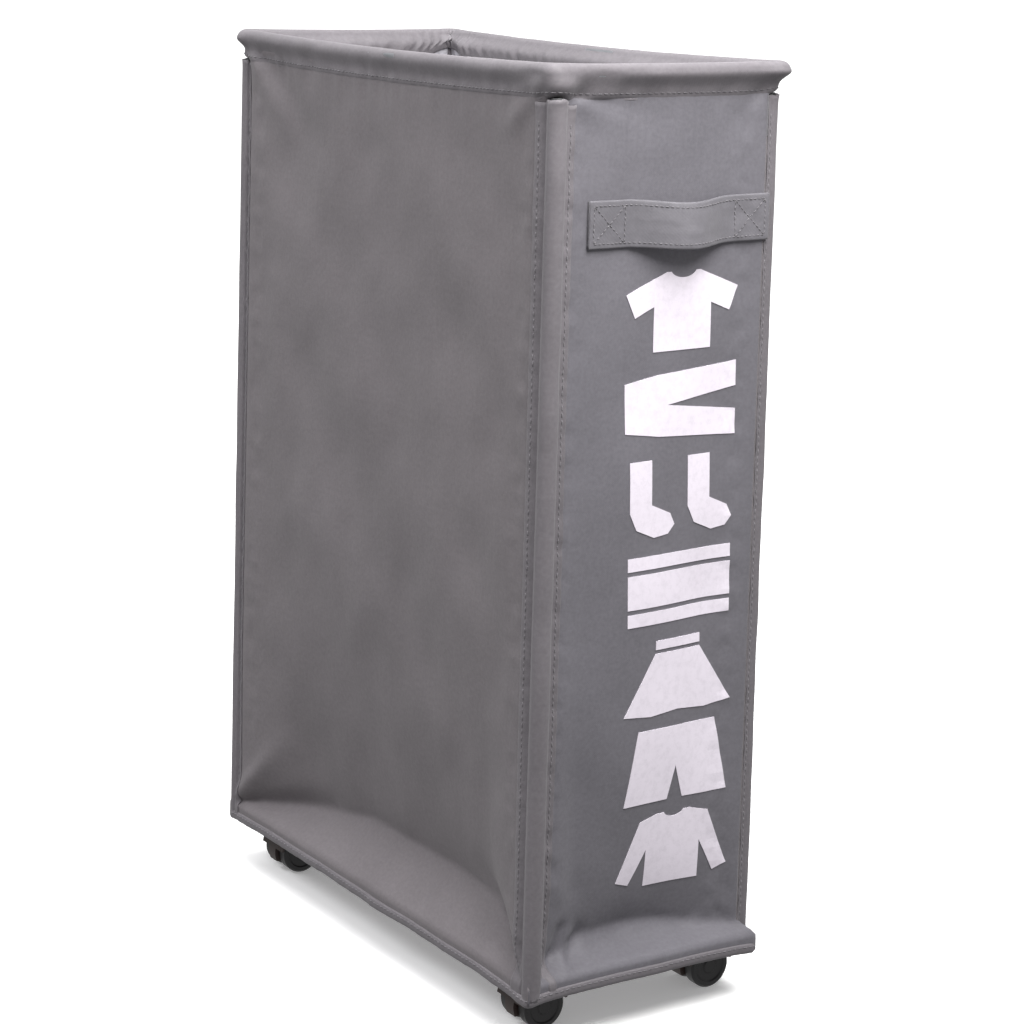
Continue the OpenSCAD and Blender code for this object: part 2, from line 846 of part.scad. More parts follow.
front_panel();
rear_panel();
strap_end_panel();
plain_end_panel();
base_panel();
base_binding();
rim_hem();
sleeve_front_right();
sleeve_front_left();
sleeve_rear_right();
sleeve_rear_left();
carrying_strap();
printed_motif();
rim_wire_right();
rim_wire_left();
rim_ferrule_front();
rim_ferrule_rear();
pole_front_right();
pole_front_left();
pole_rear_right();
pole_rear_left();
pole_cap_front_right();
pole_cap_front_left();
pole_cap_rear_right();
pole_cap_rear_left();
pole_foot_front_right();
pole_foot_front_left();
pole_foot_rear_right();
pole_foot_rear_left();
base_board();
caster_plate_front_right();
caster_plate_front_left();
caster_plate_rear_right();
caster_plate_rear_left();
caster_kingpin_front_right();
caster_kingpin_front_left();
caster_kingpin_rear_right();
caster_kingpin_rear_left();
caster_hood_front_right();
caster_hood_front_left();
caster_hood_rear_right();
caster_hood_rear_left();
caster_axle_front_right();
caster_axle_front_left();
caster_axle_rear_right();
caster_axle_rear_left();
wheel_a_front_right();
wheel_a_front_left();
wheel_a_rear_right();
wheel_a_rear_left();
wheel_b_front_right();
wheel_b_front_left();
wheel_b_rear_right();
wheel_b_rear_left();
caster_screws();
caster_nuts();
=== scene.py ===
"""Cloth, stitching, print and finishes of a slim laundry sorter on wheels."""

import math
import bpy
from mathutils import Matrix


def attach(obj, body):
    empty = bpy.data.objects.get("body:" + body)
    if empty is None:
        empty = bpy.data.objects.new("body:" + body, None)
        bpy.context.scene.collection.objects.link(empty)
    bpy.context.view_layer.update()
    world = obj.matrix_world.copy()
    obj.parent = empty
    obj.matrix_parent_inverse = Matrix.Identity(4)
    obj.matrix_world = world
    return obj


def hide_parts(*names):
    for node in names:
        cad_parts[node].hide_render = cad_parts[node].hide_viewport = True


bl_info = {
    "name": "Laundry Sorter on Wheels",
    "version": (1, 0, 0),
    "blender": (4, 5, 0),
    "location": "3D View > Sidebar > Sorter",
    "description": "Cloth, stitching and finishes round a slim laundry sorter's frame",
    "category": "Add Mesh",
}

import bmesh
import bpy
import numpy as np
from mathutils import Matrix, Vector

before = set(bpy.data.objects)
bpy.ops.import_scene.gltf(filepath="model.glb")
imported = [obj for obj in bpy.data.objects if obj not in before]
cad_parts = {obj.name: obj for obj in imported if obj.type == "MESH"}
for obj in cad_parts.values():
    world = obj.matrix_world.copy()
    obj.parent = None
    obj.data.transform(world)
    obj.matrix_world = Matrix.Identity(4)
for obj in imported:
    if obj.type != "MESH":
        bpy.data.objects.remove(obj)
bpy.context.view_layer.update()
MM = 1000.0  # millimetres in a metre
CORNERS = {
    "front_right": (1, -1),
    "front_left": (-1, -1),
    "rear_right": (1, 1),
    "rear_left": (-1, 1),
}
SIDES = ("front", "right", "rear", "left")
RIPPLES = 16  # cosine waves in one piece of unevenness
LONG_N, SHORT_N, CORNER_N = 150, 66, 14  # points along a long side, a short side and a corner


# ---------- sizes taken from the frame, in millimetres ----------


def node_points(name):
    """A node's points in millimetres."""
    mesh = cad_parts[name].data
    flat = np.empty(len(mesh.vertices) * 3, np.float32)
    mesh.vertices.foreach_get("co", flat)
    return flat.reshape(-1, 3).astype(float) * MM


def box_of(name):
    points = node_points(name)
    return points.min(0), points.max(0)


def level_of(name, z):
    """Lowest and highest corner of the node's points that lie at height z."""
    points = node_points(name)
    points = points[abs(points[:, 2] - z) < 0.1]
    return points.min(0), points.max(0)


RIM_LOW, RIM_HIGH = box_of("rim_hem")
WIRE_LOW, WIRE_HIGH = box_of("rim_wire_right")
EDGE_LOW, EDGE_HIGH = box_of("base_binding")
HEM_Z, RIM_Z, FOOT_Z = RIM_LOW[2], RIM_HIGH[2], EDGE_LOW[2]
WIRE_R = (WIRE_HIGH[2] - WIRE_LOW[2]) / 2
WIRE_Z = WIRE_LOW[2] + WIRE_R
WIRE_X, WIRE_Y = WIRE_HIGH[0] - WIRE_R, WIRE_HIGH[1] - WIRE_R
SHOULDER_Z = np.unique(np.round(node_points("strap_end_panel")[:, 2], 1))[-2]
END_X = [level_of("strap_end_panel", z)[1][0] for z in (HEM_Z, SHOULDER_Z)]
FRONT_Y = [level_of("front_panel", z)[0][1] for z in (HEM_Z, SHOULDER_Z)]
REAR_Y = [level_of("rear_panel", z)[1][1] for z in (HEM_Z, SHOULDER_Z)]
STRAP_LOW, STRAP_HIGH = box_of("carrying_strap")
BOARD_Z = box_of("base_board")[1][2]


def pole_ends(corner):
    """Middle of a pole's lower and of its upper end."""
    points = node_points("pole_" + corner)
    z = points[:, 2]
    return points[z < z.min() + 1].mean(0), points[z > z.max() - 1].mean(0)


POLES = {corner: pole_ends(corner) for corner in CORNERS}


# ---------- what a user would change ----------


def grey(red, green, blue):
    """A display colour from 0 to 255 as the linear colour that shaders use."""
    channel = np.array([red, green, blue]) / 255
    return tuple(np.where(channel <= 0.04045, channel / 12.92, ((channel + 0.055) / 1.055) ** 2.4))


def amount(name, description, default, **limits):
    return bpy.props.FloatProperty(name=name, description=description, default=default, **limits)


def tint(name, description, *display):
    return bpy.props.FloatVectorProperty(
        name=name, description=description, subtype="COLOR", default=grey(*display)
    )


class SorterCloth(bpy.types.PropertyGroup):
    """How the cloth hangs, in millimetres."""

    wall_t: amount("Wall cloth", "Thickness of the walls' cloth", 0.9, min=0.4, max=1.2)
    trough: amount("Trough", "How far the long walls sink in above the board", 18.0)
    belly: amount("Belly", "How far the long walls sink in at mid-height", 3.0)
    rim_sag: amount("Rim sag", "How far the rim's long sides sag", 2.4)
    sleeve_t: amount("Sleeve cloth", "Thickness of the pole sleeves' cloth", 0.8)
    stitch: amount("Stitch", "Length of one stitch and its gap", 4.0, min=2.0)
    pitch: amount("Mesh pitch", "Distance between the walls' points", 2.4, min=1.5)


class SorterFinish(bpy.types.PropertyGroup):
    """Colours of the object."""

    side: tint("Long walls", "Colour of the long walls' cloth", 107, 102, 105)
    end: tint("End walls", "Colour of the end walls' cloth", 103, 101, 107)
    trim: tint("Trim", "Colour of the hem, sleeves and binding", 106, 102, 106)
    webbing: tint("Strap", "Colour of the carrying strap", 104, 102, 107)
    thread: tint("Thread", "Colour of the stitches", 108, 105, 109)
    print_white: tint("Print", "Colour of the printed garments", 226, 219, 229)
    lining: tint("Lining", "Colour of the coating inside", 186, 184, 190)
    plastic: tint("Wheels", "Colour of the wheels' plastic", 34, 33, 34)
    hood: tint("Hoods", "Colour of the casters' hoods", 58, 46, 43)
    floor: tint("Floor", "Colour of the floor", 248, 248, 248)


class SorterStage(bpy.types.PropertyGroup):
    """Light and camera."""

    sky: amount("Sky", "Strength of the sky", 0.42)
    top: amount("Top light", "Power of the wide light overhead", 62.0, unit="POWER")
    key: amount("Key light", "Power of the light above the strap end", 9.0, unit="POWER")
    fill: amount("Fill light", "Power of the soft light beside", 30.0, unit="POWER")
    back: amount("Backdrop light", "Power of the light on the far floor", 190.0, unit="POWER")
    lens: amount("Lens", "Focal length", 91.5, subtype="DISTANCE_CAMERA")


def sizes():
    return bpy.context.scene.sorter_cloth


def colours():
    return bpy.context.scene.sorter_finish


# ---------- mesh helpers ----------


def grid_faces(n, m, closed_u=False, closed_v=False):
    """Corners of a grid's quads as point numbers, and as numbers in its UV grid.

    Row i, column j is point i * m + j. A closed direction runs on to its first
    row again; its UV grid has one row more, so that the pattern doesn't fold back.
    """
    i, j = np.meshgrid(np.arange(n - (not closed_u)), np.arange(m - (not closed_v)), indexing="ij")
    i, j = i.ravel(), j.ravel()
    ring = [(i, j), (i + 1, j), (i + 1, j + 1), (i, j + 1)]
    across = m + closed_v
    faces = np.stack([(a % n) * m + b % m for a, b in ring], 1)
    return faces, np.stack([a * across + b for a, b in ring], 1)


def link(name, data):
    """A new object in the scene."""
    made = bpy.data.objects.new(name, data)
    bpy.context.scene.collection.objects.link(made)
    return made


def path_lengths(line):
    """Distance along a line of points, from its first point to each of them."""
    return np.concatenate([[0], np.cumsum(np.linalg.norm(np.diff(line, axis=0), axis=1))])


def raised(plan, z):
    """Points of a plan at height z, which is one number or one for each point."""
    return np.concatenate([plan, np.broadcast_to(z, len(plan))[:, None]], 1)


def add_mesh(name, points, faces, uv=None, uv_faces=None):
    """A smooth mesh object from points in millimetres and lists of equal-sided faces."""
    groups = faces if isinstance(faces, list) else [faces]
    mesh = bpy.data.meshes.new(name)
    mesh.vertices.add(len(points))
    mesh.vertices.foreach_set("co", (points / MM).astype(np.float32).ravel())
    loops = np.concatenate([g.ravel() for g in groups]).astype(np.int32)
    mesh.loops.add(len(loops))
    mesh.loops.foreach_set("vertex_index", loops)
    counts = np.concatenate([np.full(len(g), g.shape[1]) for g in groups])
    mesh.polygons.add(len(counts))
    starts = np.concatenate([[0], np.cumsum(counts)[:-1]]).astype(np.int32)
    mesh.polygons.foreach_set("loop_start", starts)
    mesh.update(calc_edges=True)
    if uv is not None:
        layer = mesh.uv_layers.new(name="cut")
        layer.data.foreach_set("uv", (uv[uv_faces.ravel()] / MM).astype(np.float32).ravel())
    mesh.validate()
    mesh.shade_smooth()
    return link(name, mesh)


def add_grid(name, points, closed_u=False, closed_v=False, flip=False):
    """A grid of points as a mesh whose UV is the distance along its rows and columns."""
    n, m = points.shape[:2]
    faces, uv_faces = grid_faces(n, m, closed_u, closed_v)
    if flip:
        faces, uv_faces = faces[:, ::-1], uv_faces[:, ::-1]
    rows = np.concatenate([points, points[:1]]) if closed_u else points
    full = np.concatenate([rows, rows[:, :1]], 1) if closed_v else rows
    u = np.zeros(full.shape[:2])
    v = np.zeros(full.shape[:2])
    u[1:] = np.cumsum(np.linalg.norm(np.diff(full, axis=0), axis=2).mean(1))[:, None]
    v[:, 1:] = np.cumsum(np.linalg.norm(np.diff(full, axis=1), axis=2).mean(0))[None, :]
    uv = np.stack([u, v], 2).reshape(-1, 2)
    return add_mesh(name, points.reshape(-1, 3), faces, uv, uv_faces)


def cap_ends(piece):
    """Fills the open ends of a tube with one face each."""
    work = bmesh.new()
    work.from_mesh(piece.data)
    edges = [edge for edge in work.edges if edge.is_boundary]
    bmesh.ops.holes_fill(work, edges=edges)
    bmesh.ops.recalc_face_normals(work, faces=work.faces)
    work.to_mesh(piece.data)
    work.free()


def thicken(piece, thickness, inner_slot=0):
    """Gives a cloth sheet its thickness, inwards from its outer face."""
    solid = piece.modifiers.new("Cloth thickness", "SOLIDIFY")
    solid.thickness = thickness / MM
    solid.offset = -1.0
    solid.use_even_offset = False
    solid.material_offset = inner_slot
    return piece


def surface_normals(points, closed_u=False):
    """Unit normal at each point of a grid, from the differences along both directions."""
    if closed_u:
        along = np.roll(points, -1, 0) - np.roll(points, 1, 0)
    else:
        along = np.gradient(points, axis=0)
    normal = np.cross(along, np.gradient(points, axis=1))
    return normal / np.maximum(np.linalg.norm(normal, axis=2, keepdims=True), 1e-9)


def smooth_step(x, low, high):
    """0 below low, 1 above high, and 3q^2 - 2q^3 of the share q in between."""
    q = np.clip((x - low) / (high - low), 0, 1)
    return q * q * (3 - 2 * q)


def ripple(x, y, seed, wave):
    """Seeded unevenness of about -1 to 1: a sum of cosine waves in random
    directions, each 0.6 to 1.7 times wave long, over the root of their number."""
    rng = np.random.default_rng(seed)
    angle, phase = rng.uniform(0, math.tau, (2, RIPPLES))
    k = math.tau / (wave * rng.uniform(0.6, 1.7, RIPPLES))
    x, y = np.broadcast_arrays(np.asarray(x, float), np.asarray(y, float))
    turns = x[..., None] * (np.cos(angle) * k) + y[..., None] * (np.sin(angle) * k)
    return np.cos(turns + phase).sum(-1) / math.sqrt(RIPPLES)


def fold(s, z, start, end, width, height, fade=1.0, spread=0.0, lopsided=0.0):
    """One fold line: height times exp(-(d / w)^2) of the distance d from the line
    between two points. The height fades and w spreads towards the end, and a
    lopsided fold is steeper on one side."""
    step = np.subtract(end, start)
    length = math.hypot(*step)
    along = ((s - start[0]) * step[0] + (z - start[1]) * step[1]) / length**2
    across = ((s - start[0]) * step[1] - (z - start[1]) * step[0]) / length
    q = np.clip(along, 0, 1)
    w = width * (1 + spread * q)
    reach = np.hypot(across, (along - q) * length)
    return height * (1 - fade * q) * np.exp(-((reach / w) ** 2)) * (1 + lopsided * np.tanh(across / w))


def closed_curve(controls, count):
    """Periodic Catmull-Rom curve through controls (..., k, 3), at count points."""
    k = controls.shape[-2]
    t = np.linspace(0, k, count, endpoint=False)
    i = t.astype(int)
    f = (t - i)[:, None]
    p0, p1, p2, p3 = (controls[..., (i + shift) % k, :] for shift in (-1, 0, 1, 2))
    return 0.5 * (
        2 * p1
        + (p2 - p0) * f
        + (2 * p0 - 5 * p1 + 4 * p2 - p3) * f**2
        + (3 * p1 - p0 - 3 * p2 + p3) * f**3
    )


def soft_path(points, count, softness):
    """A polyline at count equal steps, with its corners eased by averaging
    neighbours softness times; its ends stay."""
    points = np.asarray(points, float)
    far = path_lengths(points)
    even = np.linspace(0, far[-1], count)
    path = np.stack([np.interp(even, far, points[:, a]) for a in range(points.shape[1])], 1)
    for _ in range(softness):
        path[1:-1] = (path[:-2] + 2 * path[1:-1] + path[2:]) / 4
    return path


def round_plan(x_half, y_low, y_high, r):
    """Rounded rectangle as points and outward directions, anticlockwise from the
    front's left end. Any two plans match point for point."""
    quarter = np.linspace(0, math.pi / 2, CORNER_N + 2)[1:-1]
    points, outward = [], []
    x, low, high = x_half - r, y_low + r, y_high - r
    middles = [np.array(middle) for middle in ((x, low), (x, high), (-x, high), (-x, low))]
    for k in range(4):
        face = -math.pi / 2 + k * math.pi / 2
        way = np.array([math.cos(face), math.sin(face)])
        start, end = middles[k - 1] + r * way, middles[k] + r * way
        q = np.linspace(0, 1, SHORT_N if k % 2 else LONG_N)[:, None]
        points.append(start + (end - start) * q)
        outward.append(np.broadcast_to(way, (len(q), 2)))
        turn = np.stack([np.cos(face + quarter), np.sin(face + quarter)], 1)
        points.append(middles[k] + r * turn)
        outward.append(turn)
    return np.concatenate(points), np.concatenate(outward)


# ---------- the bag's shape ----------


EDGE_INSET_X, EDGE_INSET_Y = 1.5, 1.3  # from the bound edge in to the walls' foot
FLARE_RISE = 9.0  # height over which the walls spread to the bound edge
SAG_FROM = 380.0  # height above which the walls follow the rim's sag
LIFT_REACH = 12.0  # the bound edge's lift fades upwards as exp(-height / reach)


def lean(ends, z):
    """Place of a leaning wall's outer face: a straight line from the hem to the shoulder."""
    return ends[0] + (ends[1] - ends[0]) * (HEM_Z - z) / (HEM_Z - SHOULDER_Z)


def flare(edge, ends, z):
    """How far a wall spreads to the bound edge: all of it up to the board's top,
    then easing off to nothing."""
    return (edge - lean(ends, FOOT_Z)) * smooth_step(-z, -BOARD_Z - FLARE_RISE, -BOARD_Z + 0.5)


def end_x(z):
    return lean(END_X, z) + flare(EDGE_HIGH[0] - EDGE_INSET_X, END_X, z)


def front_y(z):
    return lean(FRONT_Y, z) + flare(EDGE_LOW[1] + EDGE_INSET_Y, FRONT_Y, z)


def rear_y(z):
    return lean(REAR_Y, z) + flare(EDGE_HIGH[1] - EDGE_INSET_Y, REAR_Y, z)


def rim_drop(x, y):
    """How far the rim hangs below its corners: a parabola along each side."""
    long_side = (1 - (x / WIRE_X) ** 2) * np.clip(abs(y) / WIRE_Y, 0, 1) ** 8
    short_side = (1 - (y / WIRE_Y) ** 2) * np.clip(abs(x) / WIRE_X, 0, 1) ** 8
    return sizes().rim_sag * (long_side + 0.3 * short_side)


def edge_lift(x, y):
    """Height of the bound edge over its mean: low at the corners, most so at the
    strap end's front corner, and high between them."""
    corner = (np.clip(abs(x) / EDGE_HIGH[0], 0, 1) * np.clip(abs(y) / EDGE_HIGH[1], 0, 1)) ** 8
    near = corner * (x > 0) * (y < 0)
    return 1.2 - 2.2 * corner - 1.6 * near + 0.4 * ripple(x, y, 5, 70)


# Folds of each wall: start and end as (distance along, height), width, height,
# fade, spread, lopsidedness. Positive stands out.
FOLDS = {
    "front": (
        ((-171, 556), (-102, 509), 10, 4.6, 1.0, 0.8, -0.4),
        ((-152, 556), (-70, 500), 9, -4.2, 1.0, 0.9, 0.3),
        ((-120, 552), (-96, 470), 8, -0.8, 1.0, 0.5, 0.0),
        ((172, 558), (126, 526), 5, 3.4, 1.0, 0.8, 0.4),
        ((158, 556), (146, 500), 6, -1.6, 1.0, 0.8, 0.0),
        ((160, 500), (158, 440), 5, 1.0, 1.0, 0.4, 0.3),
        ((-183, 42), (-112, 108), 5, 6.0, 1.0, 1.6, -0.5),
        ((-182, 43), (-84, 66), 4, -4.0, 0.5, 1.6, 0.2),
        ((-176, 62), (-166, 150), 7, -2.0, 1.0, 0.6, 0.0),
        ((182, 42), (144, 70), 3.6, -5.0, 0.3, 0.5, 0.5),
        ((144, 70), (96, 92), 5, -3.4, 1.0, 1.0, 0.4),
        ((174, 42), (132, 62), 5, 2.2, 0.8, 0.6, 0.0),
        ((176, 60), (120, 122), 8, 2.4, 1.0, 1.0, 0.0),
        ((60, 44), (66, 60), 5, -1.1, 0.6, 0.3, 0.2),
        ((-60, 44), (-52, 60), 5, -1.0, 0.6, 0.3, -0.2),
        ((-137, 410), (-126, 262), 12, 0.8, 0.5, 0.4, 0.0),
        ((60, 420), (20, 330), 22, -0.8, 0.6, 0.2, 0.0),
        ((-20, 250), (60, 170), 24, 0.8, 0.6, 0.2, 0.0),
        ((150, 300), (158, 180), 9, 0.7, 0.6, 0.2, 0.0),
    ),
    "right": (
        ((-58, 555), (-24, 546), 4, -1.6, 0.7, 0.5, 0.5),
        ((-56, 550), (-24, 534), 7, 2.2, 1.0, 0.6, 0.0),
        ((-30, 551), (6, 534), 6, -1.0, 1.0, 0.8, 0.2),
        ((80, 556), (62, 532), 5, 2.4, 1.0, 0.8, 0.3),
        ((68, 556), (46, 528), 5, -1.8, 1.0, 0.8, 0.0),
        ((-62, 42), (-53, 66), 3, -3.6, 0.3, 0.4, 0.0),
        ((-57, 40), (-44, 60), 3, 3.0, 0.4, 0.5, 0.0),
        ((-53, 38), (-38, 60), 3.5, -4.6, 0.5, 0.6, 0.4),
        ((-58, 90), (-60, 380), 9, 1.8, 0.9, 0.2, -0.2),
        ((-44, 90), (-48, 260), 8, -1.2, 0.9, 0.3, 0.0),
        ((74, 44), (56, 58), 4, -2.2, 0.8, 0.7, 0.3),
        ((66, 43), (44, 52), 5, 1.6, 0.9, 0.6, 0.0),
        ((66, 70), (52, 130), 6, -1.2, 1.0, 0.7, 0.0),
        ((-14, 505), (-8, 300), 14, -0.5, 0.6, 0.4, 0.0),
    ),
    "rear": (
        ((-171, 551), (-110, 508), 10, 2.4, 1.0, 0.6, 0.0),
        ((171, 551), (112, 514), 10, 2.2, 1.0, 0.6, 0.0),
        ((150, 552), (76, 505), 9, -2.2, 1.0, 0.8, 0.0),
        ((-176, 46), (-140, 84), 6, 3.6, 0.5, 0.8, 0.4),
        ((-160, 52), (-84, 64), 8, -2.6, 0.8, 0.5, 0.0),
        ((176, 46), (138, 80), 6, 3.2, 0.5, 0.8, -0.4),
        ((40, 440), (10, 300), 20, -0.8, 0.6, 0.2, 0.0),
        ((-70, 300), (-40, 170), 18, 0.8, 0.6, 0.2, 0.0),
    ),
    "left": (
        ((-60, 551), (-30, 524), 6, 1.8, 1.0, 0.6, 0.0),
        ((62, 551), (30, 530), 7, -1.6, 1.0, 0.6, 0.0),
        ((-66, 44), (-36, 56), 5, 2.2, 0.8, 0.6, 0.3),
        ((64, 44), (36, 58), 5, 2.0, 0.8, 0.6, -0.3),
        ((-10, 420), (6, 200), 14, -0.8, 0.6, 0.3, 0.0),
    ),
}
# Depth of the trough above the board and of the belly, as shares of the sizes
# in SorterCloth, and how sharply the trough's upper side turns
SINK = {
    "front": (1.3, 1.0, 0.4),
    "right": (1.0, 0.35, 0.8),
    "rear": (0.9, 0.8, 0.1),
    "left": (0.6, 0.5, 0.4),
}
# Height of the trough's lowest line by the distance from a wall's first end and
# from its last end; the lower of the two holds
TROUGH = {
    "front": (
        ((0, 43), (8, 44), (30, 49), (90, 62), (150, 73)),
        ((0, 43), (10, 46), (26, 55), (42, 68), (72, 86), (130, 80), (180, 74)),
    ),
    "right": (
        ((0, 43), (13, 44), (22, 49), (36, 56), (60, 58)),
        ((0, 43), (10, 46), (24, 52), (60, 57)),
    ),
    "rear": (((0, 43), (8, 44), (40, 54), (100, 70)), ((0, 43), (8, 44), (60, 58), (140, 72))),
    "left": (((0, 43), (13, 44), (36, 53), (60, 57)), ((0, 43), (13, 44), (30, 52), (60, 57))),
}


TROUGH_END = 95.0  # distance from a wall's end to the trough's full depth
SHARP_END = 70.0  # distance over which the trough turns sharply towards a wall's ends
SHARP_REACH, SOFT_REACH = 30.0, 105.0  # how far above its line the trough dies away
GROOVE, GROOVE_W = 2.2, 6.5  # depth and width of the grooves beside the front poles
GROOVE_FROM = 62.0  # height above which a groove has its full depth
SLACK_LOW, SLACK_HIGH = (34.0, 80.0), 500.0  # heights where slow unevenness comes and goes


def groove(z):
    """Depth of the groove that the front wall forms beside each front pole."""
    return GROOVE * smooth_step(z, BOARD_Z + 3, GROOVE_FROM) * smooth_step(-z, -HEM_Z, 3 - HEM_Z)


def wall_span(side, z):
    """First and last distance along a wall, walking round the bag anticlockwise."""
    if side in ("front", "rear"):
        return -end_x(z), end_x(z)
    low, high = front_y(z) + groove(z), rear_y(z)
    return (low, high) if side == "right" else (-high, -low)


def wall_swell(side, s, z):
    """How far a wall's cloth stands out of its flat face, in millimetres.

    A trough above the board sinks in: its depth grows as q (1.35 - 0.35 q) with
    the share q of the way from the board to the trough's lowest line. At a
    height a over that line it dies away as exp(-a / SHARP_REACH) where it is
    sharp and as exp(-(a / SOFT_REACH)^2) elsewhere. A belly, (1 - t^2) sin(pi h),
    sinks in as well. Folds, slow unevenness and small puckers under the hem and
    beside the sleeves are added. All of it fades to nothing at the wall's ends
    and inside the hem.
    """
    inside_hem = smooth_step(z, HEM_Z + 1, HEM_Z + 6)
    z = np.minimum(z, HEM_Z + 1)
    low, high = wall_span(side, z)
    t = np.clip((2 * s - low - high) / (high - low), -1, 1)
    from_end = (1 - abs(t)) * (high - low) / 2
    deep, belly, sharp = SINK[side]
    first, last = (np.array(table, float).T for table in TROUGH[side])
    line = np.minimum(np.interp(s - low, *first), np.interp(high - s, *last))
    depth = sizes().trough * deep * (1 - (1 - np.clip(from_end / TROUGH_END, 0, 1)) ** 1.7)
    start = BOARD_Z + 0.5
    q = np.clip((z - start) / (line - start), 0, 1)
    above = np.clip(z - line, 0, None)
    sharp = sharp + (0.75 - sharp) * np.exp(-((from_end / SHARP_END) ** 2))
    below = np.where(q < 1, q * (1 + 0.35 * (1 - q)), 1)
    over = sharp * np.exp(-above / SHARP_REACH) + (1 - sharp) * np.exp(-((above / SOFT_REACH) ** 2))
    swell = -depth * below * over
    height = np.clip((z - FOOT_Z) / (HEM_Z - FOOT_Z), 0, 1)
    swell -= sizes().belly * belly * (1 - t * t) * np.sin(math.pi * height)
    seed = 11 * (1 + SIDES.index(side))
    slow = ripple(s, z, seed, 105) * 0.8 + ripple(s, 0.6 * z, seed + 1, 42) * 0.28
    loose = slow * smooth_step(from_end, 4, 40)
    loose *= smooth_step(z, *SLACK_LOW) * smooth_step(-z, -HEM_Z, -SLACK_HIGH)
    under_hem = np.exp(-np.clip(HEM_Z - z, 0, None) / 16)
    loose += 0.45 * ripple(s, 0.25 * z, seed + 2, 13) * under_hem
    beside = np.exp(-((from_end - 16) / 9) ** 2) + np.exp(-((z - 48) / 9) ** 2)
    loose += 0.3 * ripple(s, z, seed + 3, 15) * beside
    for start, end, width, tall, fade, spread, lopsided in FOLDS[side]:
        loose += fold(s, z, start, end, width, tall, fade, spread, lopsided)
    rise = smooth_step(z, BOARD_Z, BOARD_Z + 7)
    swell = (swell + loose * rise) * (1 - abs(t) ** 20)
    if side == "front":
        swell -= groove(z) * (1 - smooth_step(from_end, 0, GROOVE_W))
    return swell * (1 - inside_hem)


def wall_point(side, s, z, lift=0.0):
    """Points of a wall's outer face, lift millimetres out of it."""
    s, z = np.broadcast_arrays(np.asarray(s, float), np.asarray(z, float))
    out = wall_swell(side, s, z) + lift
    if side == "front":
        x, y = s, front_y(z) - out
    elif side == "right":
        x, y = end_x(z) + out, s
    elif side == "rear":
        x, y = -s, rear_y(z) + out
    else:
        x, y = -end_x(z) - out, -s
    return np.stack([x, y, z + hang(x, y, z)], -1)


def hang(x, y, z):
    """How far the cloth moves up with the bound edge and down with the rim."""
    lifted = edge_lift(x, y) * np.exp(-np.clip(z - FOOT_Z, 0, None) / LIFT_REACH)
    return lifted - rim_drop(x, y) * smooth_step(z, SAG_FROM, HEM_Z)


def wall_grid(side):
    """A wall's points, evenly spaced along it and up from the binding into the hem."""
    pitch = sizes().pitch
    z = np.linspace(FOOT_Z + 1.5, HEM_Z + 8, int((HEM_Z - FOOT_Z) / pitch))
    low, high = wall_span(side, z)
    count = int(round((high - low).mean() / pitch))
    t = np.linspace(0, 1, count + 1)[:, None]
    return wall_point(side, low + (high - low) * t, np.broadcast_to(z, (count + 1, len(z))))


def ring_swell(plan, out, z):
    """The walls' swell at height z, at the points of a plan round the bag."""
    along = (plan[:, 0], plan[:, 1], -plan[:, 0], -plan[:, 1])
    facing = (-out[:, 1], out[:, 0], out[:, 1], -out[:, 0])
    shares = zip(SIDES, along, facing)
    return sum(wall_swell(side, s, z) * np.clip(share, 0, 1) ** 4 for side, s, share in shares)


WIRE_PLAN_R, SKIRT_PLAN_R, LINING_PLAN_R = 4.5, 4.0, 3.0  # corner radii of the hem's plans
SKIRT_GAP, LINING_INSET = 0.25, 2.0  # from the walls' outer faces
BULGE = 6.6  # how far the hem stands out over a pole's top
NOTCH_R = 10.0  # reach of a pole's top on the hem
FLAT_R = 26.0  # reach of the flat part round the near corner
TIP, NEAR_TIP = 5.4, 1.5  # how far the rim's corners stick out, and the near one
ARCH, ARCH_R = 5.5, 15.0  # height and reach of the arch inside the far corner
GATHER_R, CRIMP = 38.0, 6.2  # reach and wave length of the gathers in that corner
LOBE_Y, LOBE_R = -44.0, 13.0  # place and reach of a slack spot beside the near corner


